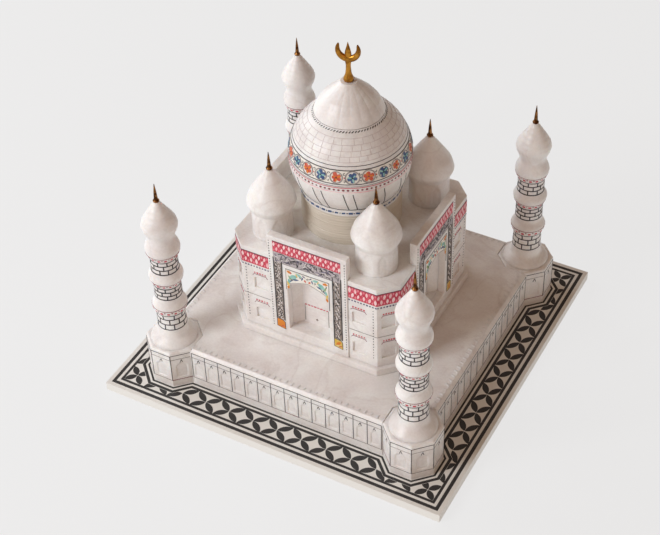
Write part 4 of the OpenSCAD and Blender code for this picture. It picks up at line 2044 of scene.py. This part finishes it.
@dataclass
class Dome:
    """The drum, and the dome with its lotus cap and painted bands."""

    tree: StampTree
    segments: int = 256
    ring_step: float = 0.22
    petals: int = 18
    cap_rim: float = 118.1
    foot_ring: float = 85.3
    flowers: int = 24
    panels: int = 12
    around: int = 128

    def build(self) -> None:
        """Make the stone and paint its bands."""
        low, high = node_box("dome")
        self.top = high.z
        surface = turned_profile("dome", low.z, smooth_mm=0.9)
        heights = np.arange(low.z, surface.heights[-1], self.ring_step)
        draft = Draft()
        draft.rings(lathe_rows(surface, heights, self.segments, self._relief))
        place_piece(
            draft.mesh("dome_shell"), Finish.ALABASTER, replaces=["dome"]
        )
        self._drum()
        self._paint(surface)

    def _drum(self) -> None:
        """Make the drum with the level ridges that the lathe left."""
        low, high = node_box("drum")
        radius = (high.x - low.x) / 2
        heights = np.arange(low.z, high.z + 0.01, (high.z - low.z) / 60)
        ridges = radius - 0.12 + 0.07 * np.sin(heights * 5.1) + 0.05 * np.sin(heights * 11.7 + 1)
        surface = Turned((0.0, 0.0), heights, ridges)
        draft = Draft()
        draft.rings(lathe_rows(surface, heights, self.around))
        place_piece(
            draft.mesh("drum_ring"), Finish.CREAM, replaces=["drum"]
        )

    def _relief(self, turns: np.ndarray, z: float) -> np.ndarray:
        """Shape the lotus petals' shallow valleys on the cap, with none below its rim.

        Args:
            turns: The angles round the piece.
            z: The height.

        Returns:
            How far the stone stands out at each angle.
        """
        if z < self.cap_rim:
            return np.zeros_like(turns)
        rise = (z - self.cap_rim) / (self.top - self.cap_rim)
        valley = 1 - np.abs(np.sin(turns * self.petals / 2)) ** 0.6
        return -0.15 * valley * math.sin(math.pi * min(1.0, 0.12 + rise * 0.9)) ** 0.7

    def _paint(self, surface: Turned) -> None:
        """Paint the dome's bands from the cap down to the collar.

        Args:
            surface: The dome's outline.
        """
        work = Brushwork("dome_paint", MODEL_BODY, 23, self.tree)
        rim = self.cap_rim
        work.ring(Finish.BLACK, Stamp.DASH, surface, rim - 0.6, 76, (0.36, 1.5), -38)
        work.hoop(Finish.SLATE, surface, rim + 0.2, 0.18)
        self._courses(work, surface)
        work.hoop(Finish.BLACK, surface, 107.6, 0.22, count=self.around)
        work.ground(Finish.CREAM_PAINT, surface, (0, 100.6), (359.9, 106.1), (144, 6))
        for z in (106.1, 100.5):
            work.hoop(Finish.BLACK, surface, z, 0.34, layer=2, count=self.around)
        work.hoop(Finish.SLATE, surface, 99.5, 0.24, count=self.around)
        self._flowers(work, surface)
        work.ring(Finish.MAROON, Stamp.DOT, surface, 97.8, 84, (0.95, 0.8))
        work.hoop(Finish.RED, surface, 98.9, 0.26, count=self.around)
        work.hoop(Finish.PINK, surface, 96.7, 0.4, count=self.around)
        for k in range(self.panels):
            middle = 360 / self.panels * (k + 0.5) + 11
            for offset in (-5.0, 4.0):
                u = middle + offset
                path = [
                    (u + 5.0 * t, 95.6 - (95.6 - self.foot_ring) * t) for t in np.linspace(0, 1, 8)
                ]
                work.stroke(Finish.BLACK, surface, path, 0.34)
        work.hoop(Finish.BLACK, surface, self.foot_ring, 0.42, count=self.around)
        work.ring(Finish.BLUE, Stamp.DASH, surface, 83.4, 46, (1.5, 0.75))
        work.ring(Finish.BLACK, Stamp.DOT, surface, 83.4, 46, (0.5, 0.5), first=3.9)
        work.finish(turn_spread=0.14, size_spread=0.18)

    def _courses(self, work: Brushwork, surface: Turned) -> None:
        """Draw the dome's brick courses above the painted bands as faint grey-pink raised lines,
        painted shade that stands for the shadow in the incised joints; nothing is cut in the stone.

        Args:
            work: The dome's brushwork.
            surface: The dome's outline.
        """
        course, lowest, count = 1.75, 108.9, 5
        for row in range(count):
            z = lowest + row * course
            # painted shade of the incised joints, drawn as raised lines
            work.hoop(Finish.PENCIL, surface, z, 0.16)
            bricks = 34 - 2 * row
            for k in range(bricks):
                u = 360 / bricks * (k + 0.5 * (row % 2)) + work.hand.uniform(-1.5, 1.5)
                if row < count - 1:
                    work.stroke(
                        Finish.PENCIL, surface, [(u, z), (u, z + course / 2), (u, z + course)], 0.16
                    )

    def _flowers(self, work: Brushwork, surface: Turned) -> None:
        """Paint the band of round flowers, blue and orange in turn, each in a black loop.

        Args:
            work: The dome's brushwork.
            surface: The dome's outline.
        """
        middle = 103.3
        reach = 1.95
        for k in range(self.flowers):
            u = 360 / self.flowers * k
            paint = (Finish.BLUE, Finish.VERMILION)[k % 2]
            other = (Finish.TURQUOISE, Finish.ORANGE)[k % 2]
            work.stamp(Finish.SLATE, Stamp.LOOP, surface, u, middle, (5.0, 4.9), 0, 2)
            for n in range(5):
                turn = 90 + 72 * n + 20 * (k % 3)
                work.stamp(paint, Stamp.PETAL, surface, u, middle, (reach, 2.0), turn, 3)
            for n in range(3):
                turn = 126 + 120 * n + 20 * (k % 3)
                work.stamp(other, Stamp.PETAL, surface, u, middle, (reach * 0.9, 0.8), turn, 4)
            work.stamp(Finish.BLACK, Stamp.DOT, surface, u, middle, (0.6, 0.6), 0, 5)
            between = u + 180 / self.flowers
            work.stamp(
                Finish.BLACK, Stamp.CURL, surface, between, middle + 1.4, (0.9, 0.9), 60 * k, 3
            )
            work.stamp(
                Finish.BLACK, Stamp.CURL, surface, between, middle - 1.4, (0.9, 0.9), 60 * k + 180,
                3
            )
            work.stamp(paint, Stamp.DOT, surface, between, middle, (0.5, 0.7), 0, 3)


@dataclass
class Crescent:
    """The cast brass finial: a flared foot, a turned stem, two thick horns and a leafy spike."""

    turn: float = 14.0
    segments: int = 20
    outer_r: float = 4.9

    def build(self) -> None:
        """Make the finial as one piece."""
        low, high = node_box("crescent_finial")
        cap = node_box("dome")[1].z
        centre_z = high.z - 0.76 * self.outer_r
        draft = Draft()
        stem = (
            (1.0, low.z), (1.0, cap), (1.85, cap + 0.02), (2.0, cap + 0.6), (1.9, cap + 1.4),
            (1.45, cap + 2.3), (1.2, cap + 3.2), (1.0, cap + 5.0), (0.95, cap + 6.8),
            (1.15, cap + 8.2), (1.0, cap + 9.0),
        )
        draft.rings(np.array([level_ring((0, 0), r, z, full_turn(self.segments)) for r, z in stem]))
        self._horns(draft, centre_z)
        self._spike(draft, centre_z, high.z)
        place_piece(
            draft.mesh("crescent"), Finish.BRASS, replaces=["crescent_finial"]
        )

    def _tube(
        self, draft: Draft, spots: Sequence[tuple[float, float, float, float]]
    ) -> None:
        """Sweep an oval section through places in the finial's upright plane.

        Args:
            draft: The mesh draft.
            spots: For each ring its place across and up, and its half width in the plane and
                across it.
        """
        turn = math.radians(self.turn)
        across = Vector((math.cos(turn), math.sin(turn), 0))
        up = Vector((math.sin(turn), -math.cos(turn), 0))
        rise = Vector((0, 0, 1))
        rows = []
        for i, (x, z, half, thick) in enumerate(spots):
            x0, z0 = spots[max(i - 1, 0)][:2]
            x1, z1 = spots[min(i + 1, len(spots) - 1)][:2]
            ahead = (across * (x1 - x0) + rise * (z1 - z0)).normalized()
            side = ahead.cross(up).normalized()
            centre = across * x + rise * z
            rows.append([
                centre + side * (half * math.cos(t)) + up * (thick * math.sin(t))
                for t in full_turn(self.segments)
            ])
        draft.rings(np.array(rows)[:, ::-1])

    def _horns(self, draft: Draft, centre_z: float) -> None:
        """Add the two horns as one swept arc, thick in the middle and pointed at the tips.

        Args:
            draft: The mesh draft.
            centre_z: The height of the arc's middle.
        """
        spots = []
        for t in np.linspace(-1, 1, 33):
            turn = math.radians(-90 + 128 * t)
            girth = 0.24 + 1.12 * math.cos(t * math.pi / 2) ** 0.6
            r = self.outer_r - 0.12 - girth * 0.9
            spots.append(
                (r * math.cos(turn), centre_z + r * math.sin(turn), girth, girth * 0.72 + 0.05)
            )
        self._tube(draft, spots)

    def _spike(self, draft: Draft, centre_z: float, top: float) -> None:
        """Add the leaf-shaped spike between the horns.

        Args:
            draft: The mesh draft.
            centre_z: The height of the arc's middle.
            top: The height of the spike's tip.
        """
        foot = centre_z - self.outer_r * 0.75
        reach = top - foot
        shape = (
            (0.0, 0.9), (0.15, 1.15), (0.3, 1.3), (0.45, 1.15), (0.6, 0.85), (0.8, 0.45),
            (0.93, 0.2), (1.0, 0.05)
        )
        spots = [(0.0, foot + reach * t, half, min(half, 0.72)) for t, half in shape]
        self._tube(draft, spots)


# ---- studio ----


@dataclass(frozen=True)
class Studio:
    """A plain pale floor, two soft lights from the left, a weak warm fill, and the camera."""

    azimuth: float = 29.965
    elevation: float = 42.123
    roll: float = -2.224
    distance: float = 0.672
    target: tuple[float, float, float] = (-0.02706, 0.02771, 0.004)
    lens: float = 82.385
    floor_colour: str = "#EFEFEF"

    def build(self) -> None:
        """Make the floor, the lights, the sky and the camera."""
        self._floor()
        self._softbox("key", -34, 31, 0.42, 7.0, "#F6FAFF")
        self._softbox("left", -100, 25, 0.6, 4.6, "#F4F8FF")
        self._softbox("warm_fill", 34, 25, 0.5, 0.9, "#FFCDB0")
        self._sky()
        self._camera()
        bpy.context.scene.view_settings.view_transform = "Standard"

    def _floor(self) -> None:
        """Make the floor, pale enough that only a faint shadow shows on it."""
        mesh = bpy.data.meshes.new("floor")
        reach = 4.0
        mesh.from_pydata(
            [
                (-reach, -reach, 0), (reach, -reach, 0), (reach, reach, 0), (-reach, reach, 0)
            ], [], [(0, 1, 2, 3)]
        )
        floor = bpy.data.objects.new("floor", mesh)
        bpy.context.scene.collection.objects.link(floor)
        mat, tree, _ = new_material("studio_paper")
        paper = add_node(
            tree, "ShaderNodeBsdfDiffuse", {"Color": linear(self.floor_colour)}
        ).outputs["BSDF"]
        glow = add_node(
            tree, "ShaderNodeEmission", {"Color": linear(self.floor_colour), "Strength": 1.0}
        ).outputs["Emission"]
        both = add_node(tree, "ShaderNodeMixShader", {0: 0.86, 1: paper, 2: glow}).outputs["Shader"]
        add_node(tree, "ShaderNodeOutputMaterial", {"Surface": both})
        mesh.materials.append(mat)

    def _softbox(
        self, name: str, azimuth: float, elevation: float, size: float, power: float, colour: str
    ) -> None:
        """Add a square soft light that faces the object from 1.1 m away.

        Args:
            name: Its name.
            azimuth: Its direction from the front, to the right, in degrees.
            elevation: Its direction above the floor, in degrees.
            size: Its side, in metres.
            power: Its power, in watts.
            colour: Its colour.
        """
        turn, rise = math.radians(azimuth), math.radians(elevation)
        aim = Vector((0, 0, 0.05))
        toward = Vector(
            (math.sin(turn) * math.cos(rise), -math.cos(turn) * math.cos(rise), math.sin(rise))
        )
        light = bpy.data.lights.new(name, "AREA")
        light.size = size
        light.energy = power
        light.color = linear(colour)[:3]
        lamp = bpy.data.objects.new(name, light)
        lamp.location = aim + toward * 1.1
        lamp.rotation_euler = (-toward).to_track_quat("-Z", "Y").to_euler()
        bpy.context.scene.collection.objects.link(lamp)

    def _sky(self) -> None:
        """Give the room its weak, slightly warm light."""
        world = bpy.data.worlds.new("room")
        world.use_nodes = True
        world.node_tree.nodes.clear()
        glow = add_node(
            world.node_tree, "ShaderNodeBackground", {"Color": linear("#F0D0B8"), "Strength": 0.3}
        )
        add_node(world.node_tree, "ShaderNodeOutputWorld", {"Surface": glow.outputs["Background"]})
        bpy.context.scene.world = world

    def _camera(self) -> None:
        """Place the camera by its angles, its roll and its distance from the target."""
        turn, rise, roll = (math.radians(a) for a in (self.azimuth, self.elevation, self.roll))
        back = Vector(
            (math.sin(turn) * math.cos(rise), -math.cos(turn) * math.cos(rise), math.sin(rise))
        )
        right = Vector((math.cos(turn), math.sin(turn), 0))
        up = back.cross(right)
        right2 = right * math.cos(roll) + up * math.sin(roll)
        up2 = up * math.cos(roll) - right * math.sin(roll)
        place = Vector(self.target) + back * self.distance
        lens = bpy.data.cameras.new("camera")
        lens.lens = self.lens
        lens.sensor_width = 36
        camera = bpy.data.objects.new("camera", lens)
        basis = Matrix((right2, up2, back)).transposed().to_4x4()
        camera.matrix_world = Matrix.Translation(place) @ basis
        bpy.context.scene.collection.objects.link(camera)
        bpy.context.scene.camera = camera


def main() -> None:
    """Build everything in order."""
    logging.basicConfig(level=logging.INFO, format="%(name)s: %(message)s")
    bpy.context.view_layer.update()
    tree = StampTree()
    Studio().build()
    BaseSlab().dress()
    Plinth(tree).build()
    for number, corner in enumerate(CORNERS):
        Minaret(corner, number, tree).build()
        Kiosk(corner, number).build()
    Mausoleum(tree).build()
    Dome(tree).build()
    Crescent().build()


if __name__ == "__main__":
    main()
